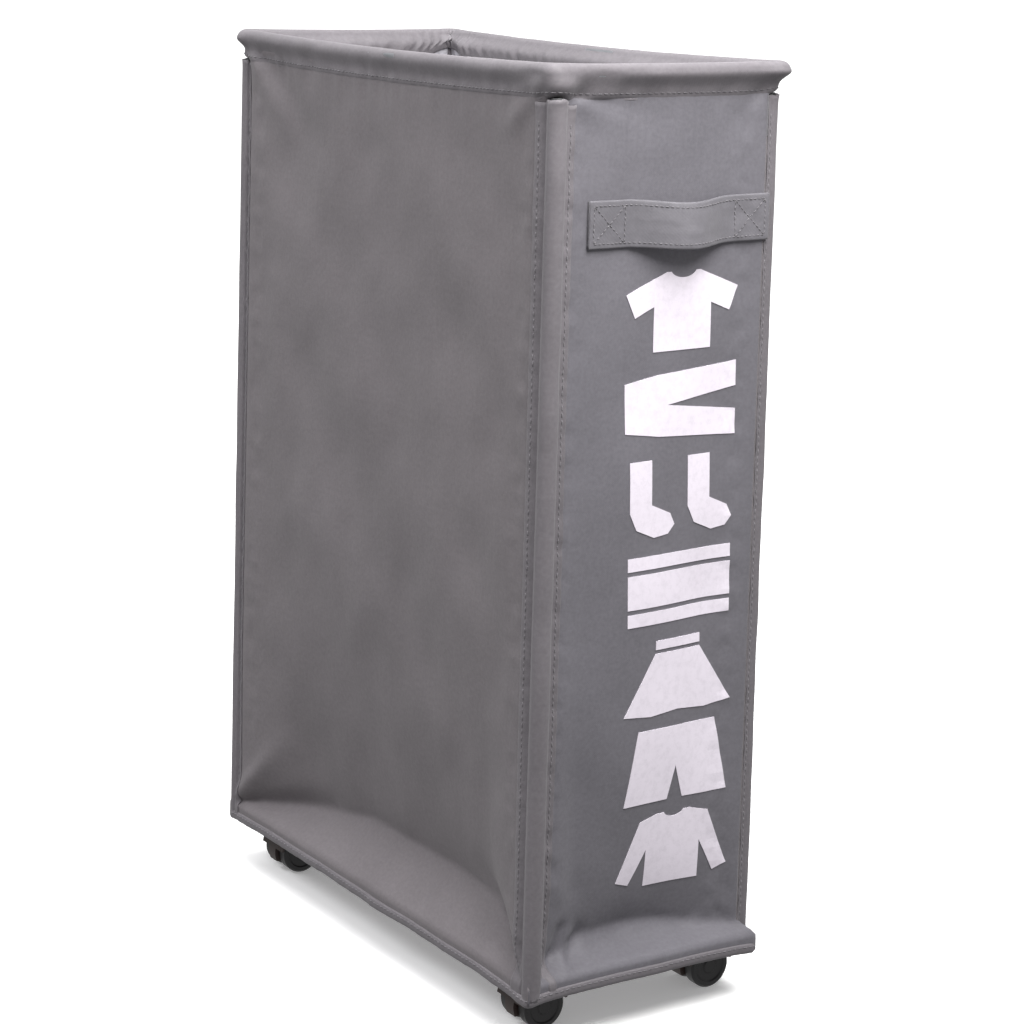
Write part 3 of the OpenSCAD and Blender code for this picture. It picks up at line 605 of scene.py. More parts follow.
def hem_grid():
    """The hem round the rim wire, as a closed profile carried round the rim.

    Each section runs from the stitched outer edge, up round the wire's tube and
    down to the turned-in edge inside. The outer edge follows the walls, and
    bulges over the poles' tops. Inside, the edge arches up at the corners.
    """
    end, front, rear = END_X[0], FRONT_Y[0], REAR_Y[0]
    wire, out = round_plan(WIRE_X, -WIRE_Y, WIRE_Y, WIRE_PLAN_R)
    skirt, _ = round_plan(end + SKIRT_GAP, front - SKIRT_GAP, rear + SKIRT_GAP, SKIRT_PLAN_R)
    lining, _ = round_plan(end - LINING_INSET, front + LINING_INSET, rear - LINING_INSET, LINING_PLAN_R)
    lining = lining + out * ring_swell(lining, out, HEM_Z + 1)[:, None]
    far = path_lengths(wire)
    notch = np.zeros(len(wire))
    bulge = np.zeros(len(wire))
    for corner, (_, sy) in CORNERS.items():
        pole_gap = np.linalg.norm(skirt - POLES[corner][1][:2], axis=1)
        near_pole = np.exp(-((pole_gap / NOTCH_R) ** 4))
        notch += near_pole
        bulge += BULGE * near_pole * (out[:, 1] if sy > 0 else out[:, 0]) ** 2
    under = skirt + out * (0.6 * bulge + ring_swell(skirt, out, HEM_Z - 2.5))[:, None]
    skirt = skirt + out * (bulge + ring_swell(skirt, out, HEM_Z + 1))[:, None]
    x, y = wire.T
    around = np.clip(abs(x) / WIRE_X, 0, 1) ** 30 * np.clip(abs(y) / WIRE_Y, 0, 1) ** 12
    flat = 2.2 * np.exp(-(((x - WIRE_X) ** 2 + (y + WIRE_Y) ** 2) / FLAT_R**2) ** 2)
    tip = around * np.where((x > 0) & (y < 0), NEAR_TIP, TIP)
    wave = 0.35 * ripple(far, 0, 70, 34)
    pucker = 0.35 * ripple(far, 0, 71, 9)
    corner_gap = np.linalg.norm(wire - np.array([-WIRE_X, WIRE_Y]), axis=1)
    arch = ARCH * np.exp(-((corner_gap / ARCH_R) ** 4)) + 2.0 * around
    gather = np.exp(-((corner_gap / GATHER_R) ** 4))
    crimp = gather * np.cos(far / CRIMP * math.tau + 1.2 * np.sin(far / 9))
    lobe = np.exp(-(((skirt[:, 1] - LOBE_Y) / LOBE_R) ** 2)) * np.clip(out[:, 0], 0, 1)
    inner = np.minimum(-4.8, ((lining - wire) * out).sum(1) - 0.9)
    halfway = 0.5 * skirt + 0.5 * wire
    # Each row: the plan it starts from, how far out of it, and its height
    rows = [
        (under, -1.0, HEM_Z - 2.0 + 0.4 * pucker + 2.0 * notch),
        (skirt, 0.25 + 0.4 * abs(pucker) + 1.6 * lobe, HEM_Z + 0.6 + 1.4 * notch),
        (halfway, 0.7 + wave + 1.7 * lobe + 0.2 * bulge + flat, HEM_Z + 6 + 0.4 * notch),
        (wire, 3.4 + tip + wave - 0.5 * lobe + 0.1 * bulge, WIRE_Z - 0.4),
        (wire, 3.4 + tip + 0.5 * wave, WIRE_Z + 3.0),
        (wire, 2.0 + 0.8 * tip, WIRE_Z + 5.6),
        (wire, 0.3 * tip, RIM_Z + 0.6 + 0.2 * wave),
        (wire, -2.1, WIRE_Z + 5.2 + 0.3 * crimp),
        (wire, -4.0 + 0.9 * crimp, WIRE_Z + 2.4),
        (wire, inner + 1.2 * crimp, WIRE_Z - 2.4 + 0.35 * arch),
        (lining, -1.3 + 1.1 * crimp, HEM_Z + 5 + 0.75 * arch),
        (lining, -0.9 + 0.5 * crimp, HEM_Z + 1 + arch),
        (lining, -0.1, HEM_Z - 1 + 0.4 * pucker + arch),
        (lining, 1.6, HEM_Z - 0.8 + arch),
        (lining, 1.6, HEM_Z - 2.0 + 1.4 * notch),
    ]
    pushed = [raised(plan + out * (0 * far + push)[:, None], z) for plan, push, z in rows]
    controls = np.stack(pushed, 1)
    controls[..., 2] -= rim_drop(x, y)[:, None]
    return closed_curve(controls, 60)


def pole_at(corner, z):
    """Middle of a pole at height z, on the straight line through its two ends."""
    low, high = POLES[corner]
    q = ((z - low[2]) / (high[2] - low[2]))[..., None]
    return low[:2] + (high[:2] - low[:2]) * q


SLEEVE_COLUMNS, SLEEVE_ROWS = 72, 216  # points round a sleeve's profile and up it
SLEEVE_FOOT = 2.5  # from the bound edge's lower side up to a sleeve's foot
WALL_GAP = 0.95  # from a wall's face to the outer face of a sleeve's flat edge


def sleeve_grid(corner):
    """A pole sleeve: a strip that starts beside the corner, closes round the
    pole in an arc and lies flat on the wall with its sewn edge.

    The profile has the pole at the origin, its first number out of the wall and
    its second along it. Near the wall the strip follows the wall's own face.
    """
    sx, sy = CORNERS[corner]
    if sy < 0:
        first, r = -104, 5.7
        start = [[-13.4 if sx > 0 else -8.4, -5.2], [-4.4, -5.2], [-3.2, -4.6]]
        end = [[-0.6, 7.0], [-2.6, 9.2], [-3.4, 11.2], [-3.55, 14.4]]
    else:
        first, r = -112, 5.35
        start = [[-4.2, -5.4], [-3.4, -5.4], [-2.4, -5.2]]
        end = [[-0.5, 6.0], [-2.9, 7.2], [-3.5, 8.6], [-3.55, 10.6]]
    turn = np.radians(np.linspace(first, 42, 22))
    arc = r * np.stack([np.cos(turn), np.sin(turn)], 1)
    profile = soft_path(np.concatenate([start, arc, end]), SLEEVE_COLUMNS, 2)
    a, b = profile[:, 0][:, None], profile[:, 1][:, None]
    top = HEM_Z - 1.0 - 3.4 * smooth_step(b, 1, 10) - 1.6 * smooth_step(-a, 3.6, 5)
    top = top + 0.3 * ripple(b, 0, 90, 7)
    q = np.linspace(0, 1, SLEEVE_ROWS)[None, :]
    foot = FOOT_Z + SLEEVE_FOOT
    z = foot + (top - foot) * q
    middle = pole_at(corner, z)
    seed = 200 + 10 * list(CORNERS).index(corner)
    round_part = smooth_step(a, -3.4, 0)
    pucker = 0.3 * ripple(z, b * 0.5, seed, 11) * (1 - round_part)
    lip = np.exp(-((top - z) / 2.2) ** 2) * 0.7
    a = a + pucker + 0.22 * ripple(z, 0, seed + 1, 55) * round_part
    a = a + lip * round_part
    flat = smooth_step(b, 4.5, 8.0) if sy > 0 else smooth_step(b, 5.5, 10.5)
    wrap = smooth_step(-b, 3.6, 5.0) * smooth_step(-a, 3.2, 4.6)
    if sy < 0:
        along = middle[..., 1] + b
        wall = "right" if sx > 0 else "left"
        face = sx * wall_point(wall, sx * along, z)[..., 0]
        x = (middle[..., 0] * sx + a) * (1 - flat) + (face + WALL_GAP + pucker * 0.5) * flat
        over = wall_point("front", x * sx, z)[..., 1]
        y = (middle[..., 1] + b) * (1 - wrap) + (over - 0.85 - 0.5 * pucker) * wrap
        x = x * sx
    else:
        x = middle[..., 0] - sx * b
        face = wall_point("rear", -x, z)[..., 1]
        y = (middle[..., 1] + a) * (1 - flat) + (face + WALL_GAP + pucker * 0.5) * flat
    return np.stack([x, y, z + hang(x, y, z)], -1)


BINDING_R = 6.0  # corner radius of the bound edge's plan


def binding_grid():
    """Folded tape round the bottom edge: a flat closed profile carried round it."""
    plan, out = round_plan(EDGE_HIGH[0], EDGE_LOW[1], EDGE_HIGH[1], BINDING_R)
    far = path_lengths(plan)
    height = EDGE_HIGH[2] - FOOT_Z
    wave = 0.3 * ripple(far, 0, 80, 26) + 0.15 * ripple(far, 0, 81, 8)
    # Distance out of the bound edge, and height as a share of the tape's own
    shape = [
        (-0.1, 0.2), (0.1, 0.5), (-0.25, 0.84), (-0.9, 1.0),
        (-2.4, 1.0), (-2.9, 0.8), (-2.9, 0.2), (-2.2, 0.02), (-0.9, 0.0),
    ]
    rows = [raised(plan + out * (o + wave * (o > -1))[:, None], FOOT_Z + height * h) for o, h in shape]
    controls = np.stack(rows, 1)
    controls[..., 2] += edge_lift(plan[:, 0], plan[:, 1])[:, None]
    return closed_curve(controls, 27)


STRAP_PAD = 26.0  # length of each sewn-down end of the strap
STRAP_SPAN = STRAP_LOW[1], STRAP_HIGH[1] + 4  # it ends on the rear pole's sleeve
STRAP_T = 2.4  # thickness of the folded webbing
STRAP_BOW = 11.0  # how far its middle bows out
STRAP_PITCH = 3.0  # length of one of its stitches and its gap
STRAP_HALF = (STRAP_HIGH[2] - STRAP_LOW[2]) / 2


def strap_rise(s):
    """How far the strap's middle bows out: a full cosine wave between the sewn ends."""
    low, high = STRAP_SPAN[0] + STRAP_PAD, STRAP_SPAN[1] - STRAP_PAD
    q = np.clip((s - low) / (high - low), 0, 1)
    return STRAP_BOW * (1 - np.cos(math.tau * q)) / 2


def strap_point(s, w, out):
    """Points of the strap, w millimetres up from its middle line and out of the wall."""
    middle = (STRAP_LOW[2] + STRAP_HIGH[2]) / 2
    rise = strap_rise(s)
    share = rise / STRAP_BOW
    tilt = -0.10 * w * share
    curl = 0.5 * (1 - (w / 13.5) ** 2) * share
    z = middle + w * (1 - 0.03 * share) - 0.12 * rise
    return wall_point("right", s, z, 0.05 + rise + tilt + curl + out)


def strap_grid():
    """The strap as a flat tube with rounded edges along the wall and its hump."""
    half, thick, r = STRAP_HALF, STRAP_T, 1.0
    face = np.linspace(r - half, half - r, 15)
    turn = np.linspace(0, math.pi, 7)[1:-1]
    edge_w, edge_o = np.sin(turn) * r, np.cos(turn) * thick / 2
    w = np.concatenate([face, half - r + edge_w, face[::-1], r - half - edge_w])
    o = np.concatenate([0 * face + thick, thick / 2 + edge_o, 0 * face, thick / 2 - edge_o])
    s = np.linspace(*STRAP_SPAN, 110)
    o = o[None, :] + 0.12 * ripple(s[:, None], w[None, :], 310, 9) * (o[None, :] > 1)
    return strap_point(s[:, None], w[None, :], o)


# ---------- stitches ----------


def stitch_frames(line, normal, pitch):
    """Places, directions and normals of stitches at equal steps along a line."""
    far = path_lengths(line)
    count = max(1, int(far[-1] / pitch))
    at = (np.arange(count) + 0.5) * far[-1] / count
    pick = lambda data, d: np.stack([np.interp(d, far, data[:, k]) for k in range(3)], 1)
    before, after = (pick(line, np.clip(at + step, 0, far[-1])) for step in (-pitch / 3, pitch / 3))
    ahead = after - before
    tangent = ahead / np.linalg.norm(ahead, axis=1, keepdims=True)
    up = pick(normal, at)
    up -= tangent * (up * tangent).sum(1, keepdims=True)
    return pick(line, at), tangent, up / np.linalg.norm(up, axis=1, keepdims=True)


def add_stitches(name, rows, length, r=0.34):
    """Stitches as one mesh: a five-sided capsule whose ends dip into the cloth,
    copied to every place of the rows."""
    x = np.array([-0.5, -0.36, 0.36, 0.5])[:, None] * length
    size = np.array([0.35, 1.0, 1.0, 0.35])[:, None] * r
    dip = np.array([-0.5, 0.15, 0.15, -0.5])[:, None] * r
    turn = np.linspace(0, math.tau, 5, endpoint=False)[None, :]
    rings = np.stack([x + 0 * turn, size * np.cos(turn), dip + size * np.sin(turn)], -1)
    tips = [[end * length, 0, -0.6 * r] for end in (-0.53, 0.53)]
    template = np.concatenate([rings.reshape(-1, 3), tips])
    j = np.arange(5)
    k = (j + 1) % 5
    quads = [np.stack([i + j, i + 5 + j, i + 5 + k, i + k], 1) for i in (0, 5, 10)]
    quads = np.concatenate(quads)[:, ::-1]
    tris = [np.stack([0 * j + 20, j, k], 1), np.stack([0 * j + 21, 15 + k, 15 + j], 1)]
    tris = np.concatenate(tris)[:, ::-1]
    place, tangent, up = (np.concatenate(part) for part in zip(*rows))
    side = np.cross(up, tangent)
    points = place[:, None] + sum(
        template[None, :, k, None] * axis[:, None] for k, axis in enumerate((tangent, side, up))
    )
    shift = (np.arange(len(place)) * len(template))[:, None, None]
    faces = [(quads[None] + shift).reshape(-1, 4), (tris[None] + shift).reshape(-1, 3)]
    return add_mesh(name, points.reshape(-1, 3), faces)


# ---------- finishes ----------


class Value:
    """A socket in a material; + - * on it add Math nodes."""

    def __init__(self, finish, socket):
        self.finish, self.socket = finish, socket

    def math(self, operation, *others):
        inputs = dict(enumerate((self, *others)))
        return self.finish.node("ShaderNodeMath", {"operation": operation}, inputs)

    def __add__(self, other):
        return self.math("ADD", other)

    def __mul__(self, other):
        return self.math("MULTIPLY", other)

    def __sub__(self, other):
        return self.math("SUBTRACT", other)

    def clamp(self, low, high):
        """0 at low and below, 1 at high and above, smooth in between."""
        settings = {"interpolation_type": "SMOOTHSTEP"}
        return self.finish.node("ShaderNodeMapRange", settings, {0: self, 1: low, 2: high})


class Finish:
    """A material with one Principled shader, whose constants are set on its own sockets."""

    def __init__(self, name, colour, roughness, **constants):
        self.material = bpy.data.materials.new(name)
        self.material.use_nodes = True
        self.tree = self.material.node_tree
        self.shader = self.tree.nodes["Principled BSDF"]
        self.set("Base Color", (*colour, 1.0))
        self.set("Roughness", roughness)
        for key, value in constants.items():
            self.set(key.replace("_", " "), value)

    def set(self, socket, value):
        target = self.shader.inputs[socket]
        if isinstance(value, Value):
            self.tree.links.new(value.socket, target)
        else:
            target.default_value = value

    def node(self, kind, settings=None, inputs=None, output=0):
        """Adds a node: its settings first, then the values or links of its sockets."""
        made = self.tree.nodes.new(kind)
        for key, value in (settings or {}).items():
            setattr(made, key, value)
        for key, value in (inputs or {}).items():
            value = value.socket if isinstance(value, Value) else value
            if isinstance(value, bpy.types.NodeSocket):
                self.tree.links.new(value, made.inputs[key])
            else:
                made.inputs[key].default_value = value
        return Value(self, made.outputs[output])

    def place(self, uv):
        """Object coordinates, or the cloth's own UV, which both are metres."""
        if uv:
            return self.node("ShaderNodeUVMap", {"uv_map": "cut"})
        return self.node("ShaderNodeTexCoord", output="Object")

    def noise(self, where, scale, detail, roughness, stretch=None):
        if stretch:
            where = self.node("ShaderNodeMapping", {}, {"Vector": where, "Scale": stretch})
        inputs = {"Vector": where, "Scale": scale, "Detail": detail, "Roughness": roughness}
        return self.node("ShaderNodeTexNoise", {}, inputs)

    def mix(self, share, first, second):
        """A colour between two colours."""
        inputs = {0: share, 6: (*first, 1.0), 7: (*second, 1.0)}
        return self.node("ShaderNodeMix", {"data_type": "RGBA"}, inputs, 2)

    def bump(self, height, depth, strength, after=None):
        """Bump of a height, depth millimetres deep."""
        inputs = {"Strength": strength, "Distance": depth / MM, "Height": height}
        if after is not None:
            inputs["Normal"] = after
        return self.node("ShaderNodeBump", {}, inputs)


CLOTH_ROUGHNESS = 0.6


def shade(colour, factor):
    return tuple(min(1.0, c * factor) for c in colour)


def cloth_finish(name, colour, thread=0.62, mottle=0.12):
    """Coated plain weave: over-and-under threads in the bump, a mottled tone with
    fine flecks, faint creases and a dry gloss."""
    gloss = {"Sheen_Weight": 0.12, "Sheen_Roughness": 0.5, "Specular_IOR_Level": 0.35}
    finish = Finish(name, colour, CLOTH_ROUGHNESS, **gloss)
    where = finish.place(True)
    parts = [finish.node("ShaderNodeSeparateXYZ", {}, {0: where}, k) for k in (0, 1)]
    warp = (parts[0] * (math.pi * MM / thread)).math("SINE")
    weft = (parts[1] * (math.pi * MM / thread)).math("SINE")
    weave = warp * weft * 0.5 + 0.5
    cloud = finish.noise(where, 13.0, 7.0, 0.68)
    fleck = finish.noise(where, 380.0, 3.0, 0.7)
    streak = finish.noise(where, 60.0, 3.0, 0.6, (1.0, 0.18, 1.0))
    tone = cloud * 0.85 + streak * 0.15 + fleck * 0.9 - 0.45
    dark, light = (shade(colour, 1 + sign * 1.6 * mottle) for sign in (-1, 1))
    finish.set("Base Color", finish.mix(tone.clamp(0.0, 1.0), dark, light))
    finish.set("Roughness", (cloud * 0.16 + fleck * 0.08) + (CLOTH_ROUGHNESS - 0.12))
    crease = finish.noise(where, 38.0, 5.0, 0.62)
    first = finish.bump(crease, 0.9, 0.6)
    finish.set("Normal", finish.bump(weave * 0.55 + fleck * 0.45, 0.10, 0.5, first))
    return finish.material


def lining_finish(name, colour):
    """Pale coating, crinkled in small sharp facets."""
    finish = Finish(name, colour, 0.34, Specular_IOR_Level=0.6)
    where = finish.place(True)
    cells = {"Vector": where, "Scale": 190.0, "Randomness": 1.0}
    facets = finish.node("ShaderNodeTexVoronoi", {"feature": "F1"}, cells)
    crinkle = finish.noise(where, 85.0, 6.0, 0.7)
    finish.set("Base Color", finish.mix(crinkle.clamp(0.3, 0.7), shade(colour, 0.82), colour))
    finish.set("Normal", finish.bump(facets * 0.5 + crinkle, 1.6, 0.9))
    return finish.material


def thread_finish(name, colour):
    """Sewing thread: a fine twist and a faint nap."""
    finish = Finish(name, colour, 0.6, Sheen_Weight=0.2)
    twist = finish.noise(finish.place(False), 2200.0, 2.0, 0.6)
    finish.set("Base Color", finish.mix(twist.clamp(0.3, 0.7), shade(colour, 0.8), shade(colour, 1.15)))
    finish.set("Normal", finish.bump(twist, 0.08, 0.5))
    return finish.material


def print_finish(name, colour):
    """White print: worn in small patches, with the weave showing through."""
    finish = Finish(name, colour, 0.55, Specular_IOR_Level=0.4)
    where = finish.place(False)
    wear = finish.noise(where, 240.0, 4.0, 0.7)
    weave = finish.noise(where, 1300.0, 2.0, 0.6)
    finish.set("Base Color", finish.mix(wear.clamp(0.25, 0.6), shade(colour, 0.9), colour))
    finish.set("Normal", finish.bump(weave + wear * 0.5, 0.12, 0.5))
    return finish.material


def plastic_finish(name, colour, roughness, scuff):
    """Moulded plastic: fine pebbling, dusty scuffs and uneven gloss."""
    finish = Finish(name, colour, roughness, Specular_IOR_Level=0.5)
    where = finish.place(False)
    pebble = finish.noise(where, 1500.0, 2.0, 0.6)
    dust = finish.noise(where, 130.0, 5.0, 0.65)
    worn = dust.clamp(0.52, 0.78)
    finish.set("Base Color", finish.mix(worn * scuff, colour, shade(colour, 3.2)))
    finish.set("Roughness", worn * 0.3 + roughness)
    finish.set("Normal", finish.bump(pebble, 0.12, 0.35))
    return finish.material


def metal_finish(name, colour, roughness):
    """Drawn or stamped steel: fine lines, cloudy gloss and a trace of tarnish."""
    finish = Finish(name, colour, roughness, Metallic=1.0)
    where = finish.place(False)
    lines = finish.noise(where, 260.0, 3.0, 0.6, (1.0, 1.0, 14.0))
    cloud = finish.noise(where, 70.0, 4.0, 0.6)
    finish.set("Base Color", finish.mix(cloud.clamp(0.35, 0.8), colour, shade(colour, 0.72)))
    finish.set("Roughness", cloud * 0.22 + lines * 0.1 + (roughness - 0.12))
    finish.set("Normal", finish.bump(lines, 0.05, 0.3))
    return finish.material


def board_finish(name, colour):
    """Pressed board: fibres, specks and a soft nap."""
    finish = Finish(name, colour, 0.85)
    where = finish.place(False)
    fibre = finish.noise(where, 420.0, 4.0, 0.7, (1.0, 0.35, 1.0))
    speck = finish.noise(where, 900.0, 1.0, 0.5)
    tone = (fibre * 0.7 + speck * 0.5).clamp(0.3, 0.85)
    finish.set("Base Color", finish.mix(tone, shade(colour, 0.7), shade(colour, 1.35)))
    finish.set("Normal", finish.bump(fibre, 0.25, 0.5))
    return finish.material


def paint(name, material):
    """Gives a node of the frame its finish."""
    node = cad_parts[name]
    node.data.materials.clear()
    node.data.materials.append(material)


def dress(piece, slot, *materials):
    """Puts finishes on a new piece, which rides on the bag's own body."""
    for material in materials:
        piece.data.materials.append(material)
    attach(piece, "root")
    return piece


def flat_size(points, closed_u=False, closed_v=False):
    """A grid's mean length along its rows and along its columns, in metres."""
    lengths = []
    for axis, closed in enumerate((closed_u, closed_v)):
        line = np.concatenate([points, np.take(points, [0], axis)], axis) if closed else points
        steps = np.linalg.norm(np.diff(line, axis=axis), axis=2)
        lengths.append(steps.sum(axis).mean() / MM)
    return lengths


def rounded(*lengths):
    return tuple(round(float(length), 4) for length in lengths)


# ---------- operators ----------


WALL_NODES = {
    "front": "front_panel",
    "right": "strap_end_panel",
    "rear": "rear_panel",
    "left": "plain_end_panel",
}


class SORTER_OT_walls(bpy.types.Operator):
    """Four cloth walls with a white coating inside"""

    bl_idname = "sorter.walls"
    bl_label = "Cloth Walls"

    def execute(self, context):
        side = cloth_finish("Long wall cloth", colours().side)
        end = cloth_finish("End wall cloth", colours().end)
        lining = lining_finish("White lining", colours().lining)
        for key, node in WALL_NODES.items():
            points = wall_grid(key)
            slot, outer = ("side_cloth", side) if key in ("front", "rear") else ("end_cloth", end)
            piece = add_grid(f"cloth_{node}", points)
            dress(piece, slot, outer, lining)
            thicken(piece, sizes().wall_t, inner_slot=1)
            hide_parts(node)
            flat = rounded(*flat_size(points))
        return {"FINISHED"}


class SORTER_OT_hem(bpy.types.Operator):
    """Hem sewn round the rim wire"""

    bl_idname = "sorter.hem"
    bl_label = "Rim Hem"

    def execute(self, context):
        points = hem_grid()
        piece = add_grid("cloth_rim_hem", points, closed_u=True, closed_v=True)
        dress(piece, "hem_cloth", cloth_finish("Hem cloth", colours().trim))
        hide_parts("rim_hem")
        around, across = flat_size(points, True, True)
        return {"FINISHED"}


class SORTER_OT_sleeves(bpy.types.Operator):
    """Four sleeves sewn over the corner poles"""

    bl_idname = "sorter.sleeves"
    bl_label = "Pole Sleeves"

    def execute(self, context):
        material = cloth_finish("Sleeve cloth", colours().trim)
        for corner, (sx, _) in CORNERS.items():
            points = sleeve_grid(corner)
            piece = add_grid(f"cloth_sleeve_{corner}", points, flip=sx < 0)
            dress(piece, "sleeve_cloth", material)
            thicken(piece, sizes().sleeve_t)
            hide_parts(f"sleeve_{corner}")
            flat = rounded(*flat_size(points))
        return {"FINISHED"}


class SORTER_OT_strap(bpy.types.Operator):
    """Carrying strap on the end wall"""

    bl_idname = "sorter.strap"
    bl_label = "Carrying Strap"

    def execute(self, context):
        points = strap_grid()
        piece = add_grid("webbing_carrying_strap", points, closed_v=True)
        cap_ends(piece)
        webbing = cloth_finish("Strap webbing", colours().webbing, thread=1.1, mottle=0.07)
        dress(piece, "strap_webbing", webbing)
        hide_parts("carrying_strap")
        flat = rounded(flat_size(points)[0], 2 * STRAP_HALF / MM)
        return {"FINISHED"}


PRINT_PITCH = 3.0  # distance between the cuts that let the print follow the cloth
PRINT_LIFT, PRINT_T = 0.42, 0.36  # its outer face above the cloth, and its thickness


class SORTER_OT_motif(bpy.types.Operator):
    """Printed garments that lie on the end wall's cloth"""

    bl_idname = "sorter.motif"
    bl_label = "Printed Garments"

    def execute(self, context):
        work = bmesh.new()
        work.from_mesh(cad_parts["printed_motif"].data)
        bmesh.ops.remove_doubles(work, verts=work.verts, dist=1e-6)
        hidden = [face for face in work.faces if face.normal.x < 0.9]
        bmesh.ops.delete(work, geom=hidden, context="FACES")
        low, high = box_of("printed_motif")
        for axis in (1, 2):
            for cut in np.arange(low[axis] + PRINT_PITCH, high[axis], PRINT_PITCH):
                spot, way = Vector((0, 0, 0)), Vector((0, 0, 0))
                spot[axis], way[axis] = cut / MM, 1.0
                everything = work.verts[:] + work.edges[:] + work.faces[:]
                bmesh.ops.bisect_plane(work, geom=everything, plane_co=spot, plane_no=way)
        bmesh.ops.triangulate(work, faces=[f for f in work.faces if len(f.verts) > 4])
        mesh = bpy.data.meshes.new("printed_garments")
        work.to_mesh(mesh)
        work.free()
        points = np.empty(len(mesh.vertices) * 3, np.float32)
        mesh.vertices.foreach_get("co", points)
        points = points.reshape(-1, 3).astype(float) * MM
        placed = wall_point("right", points[:, 1], points[:, 2], PRINT_LIFT)
        mesh.vertices.foreach_set("co", (placed / MM).astype(np.float32).ravel())
        mesh.update()
        mesh.shade_flat()
        piece = link("printed_garments", mesh)
        dress(piece, "white_print", print_finish("White print", colours().print_white))
        thicken(piece, PRINT_T)
        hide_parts("printed_motif")
        return {"FINISHED"}


TAPE_W = 0.01  # the tape's flat width in metres: the least that a sheet may have


class SORTER_OT_base(bpy.types.Operator):
    """Binding tape round the bottom edge and the cloth under the board"""

    bl_idname = "sorter.base"
    bl_label = "Bound Base"

    def execute(self, context):
        points = binding_grid()
        tape = add_grid("tape_base_binding", points, closed_u=True, closed_v=True)
        cloth = cloth_finish("Binding tape", colours().trim, thread=0.8, mottle=0.07)
        dress(tape, "binding_tape", cloth)
        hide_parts("base_binding")
        flat = rounded(flat_size(points, closed_u=True)[0], TAPE_W)
        low, high = box_of("base_panel")
        x, y = (np.linspace(low[k], high[k], count) for k, count in enumerate((120, 56)))
        x, y = np.meshgrid(x, y, indexing="ij")
        sag = 0.12 * ripple(x, y, 400, 30)
        points = np.stack([x, y, high[2] - 0.06 + 0 * x - 0.05 * abs(sag)], -1)
        floor = add_grid("cloth_base_panel", points)
        dress(floor, "base_cloth", cloth_finish("Base cloth", colours().side))
        thicken(floor, 0.8)
        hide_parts("base_panel")
        flat = rounded(*flat_size(points))
        return {"FINISHED"}


# Columns of the sleeves' grids that carry stitches, and the hem's and the tape's
FRONT_SEAMS, REAR_SEAMS, RING_SEAM = (6, 66), (4, 66), 5


class SORTER_OT_stitching(bpy.types.Operator):
    """Rows of stitches in the hem, sleeves, binding and strap"""

    bl_idname = "sorter.stitching"
    bl_label = "Stitching"

    def execute(self, context):
        pitch = sizes().stitch
        length = 0.72 * pitch
        thread = thread_finish("Sewing thread", colours().thread)
        # The hem's stitches use the same thread made darker: painted shade for the stitches that sit
        # under the rim's roll.
        hem_thread = thread_finish("Hem thread", shade(colours().thread, 0.78))
        rows = ring_rows(hem_grid(), pitch)
        dress(add_stitches("stitches_rim_hem", rows, length), "hem_cloth", hem_thread)
        rows = []
        for corner, (sx, sy) in CORNERS.items():
            grid = sleeve_grid(corner)
            normals = surface_normals(grid) * sx
            for column in FRONT_SEAMS if sy < 0 else REAR_SEAMS:
                rows.append(stitch_frames(grid[column, 6:-4], normals[column, 6:-4], pitch))
        dress(add_stitches("stitches_sleeves", rows, length), "sleeve_cloth", thread)
        rows = ring_rows(binding_grid(), pitch)
        dress(add_stitches("stitches_base_binding", rows, length), "binding_tape", thread)
        rows = strap_rows(STRAP_PITCH)
        length = 0.7 * STRAP_PITCH
        dress(add_stitches("stitches_carrying_strap", rows, length, 0.3), "strap_webbing", thread)
        return {"FINISHED"}


def ring_rows(grid, pitch):
    """One row of stitches round a closed grid."""
    normals = surface_normals(grid, closed_u=True)
    return [stitch_frames(grid[:, RING_SEAM], normals[:, RING_SEAM], pitch)]


def strap_rows(pitch):
    """A crossed box on each sewn end of the strap and a row along each edge."""
    low, high, inset = *STRAP_SPAN, 3
    half, face = STRAP_HALF - inset, STRAP_T + 0.05
    lines = [((low + inset, w), (high - inset, w)) for w in (-half, half)]
    pads = ((low + inset, low + STRAP_PAD - 1), (high - STRAP_PAD + 1, high - inset))
    for a, b in pads:
        lines += [((a, -half), (a, half)), ((b, -half), (b, half))]
        lines += [((a, -half), (b, half)), ((a, half), (b, -half))]
    rows = []
    for start, end in lines:
        s, w = (np.linspace(start[k], end[k], 60) for k in (0, 1))
        line = strap_point(s, w, face)
        ahead = strap_point(s + 0.5, w, face) - line
        above = strap_point(s, w + 0.5, face) - line
        rows.append(stitch_frames(line, np.cross(ahead, above), pitch))
    return rows


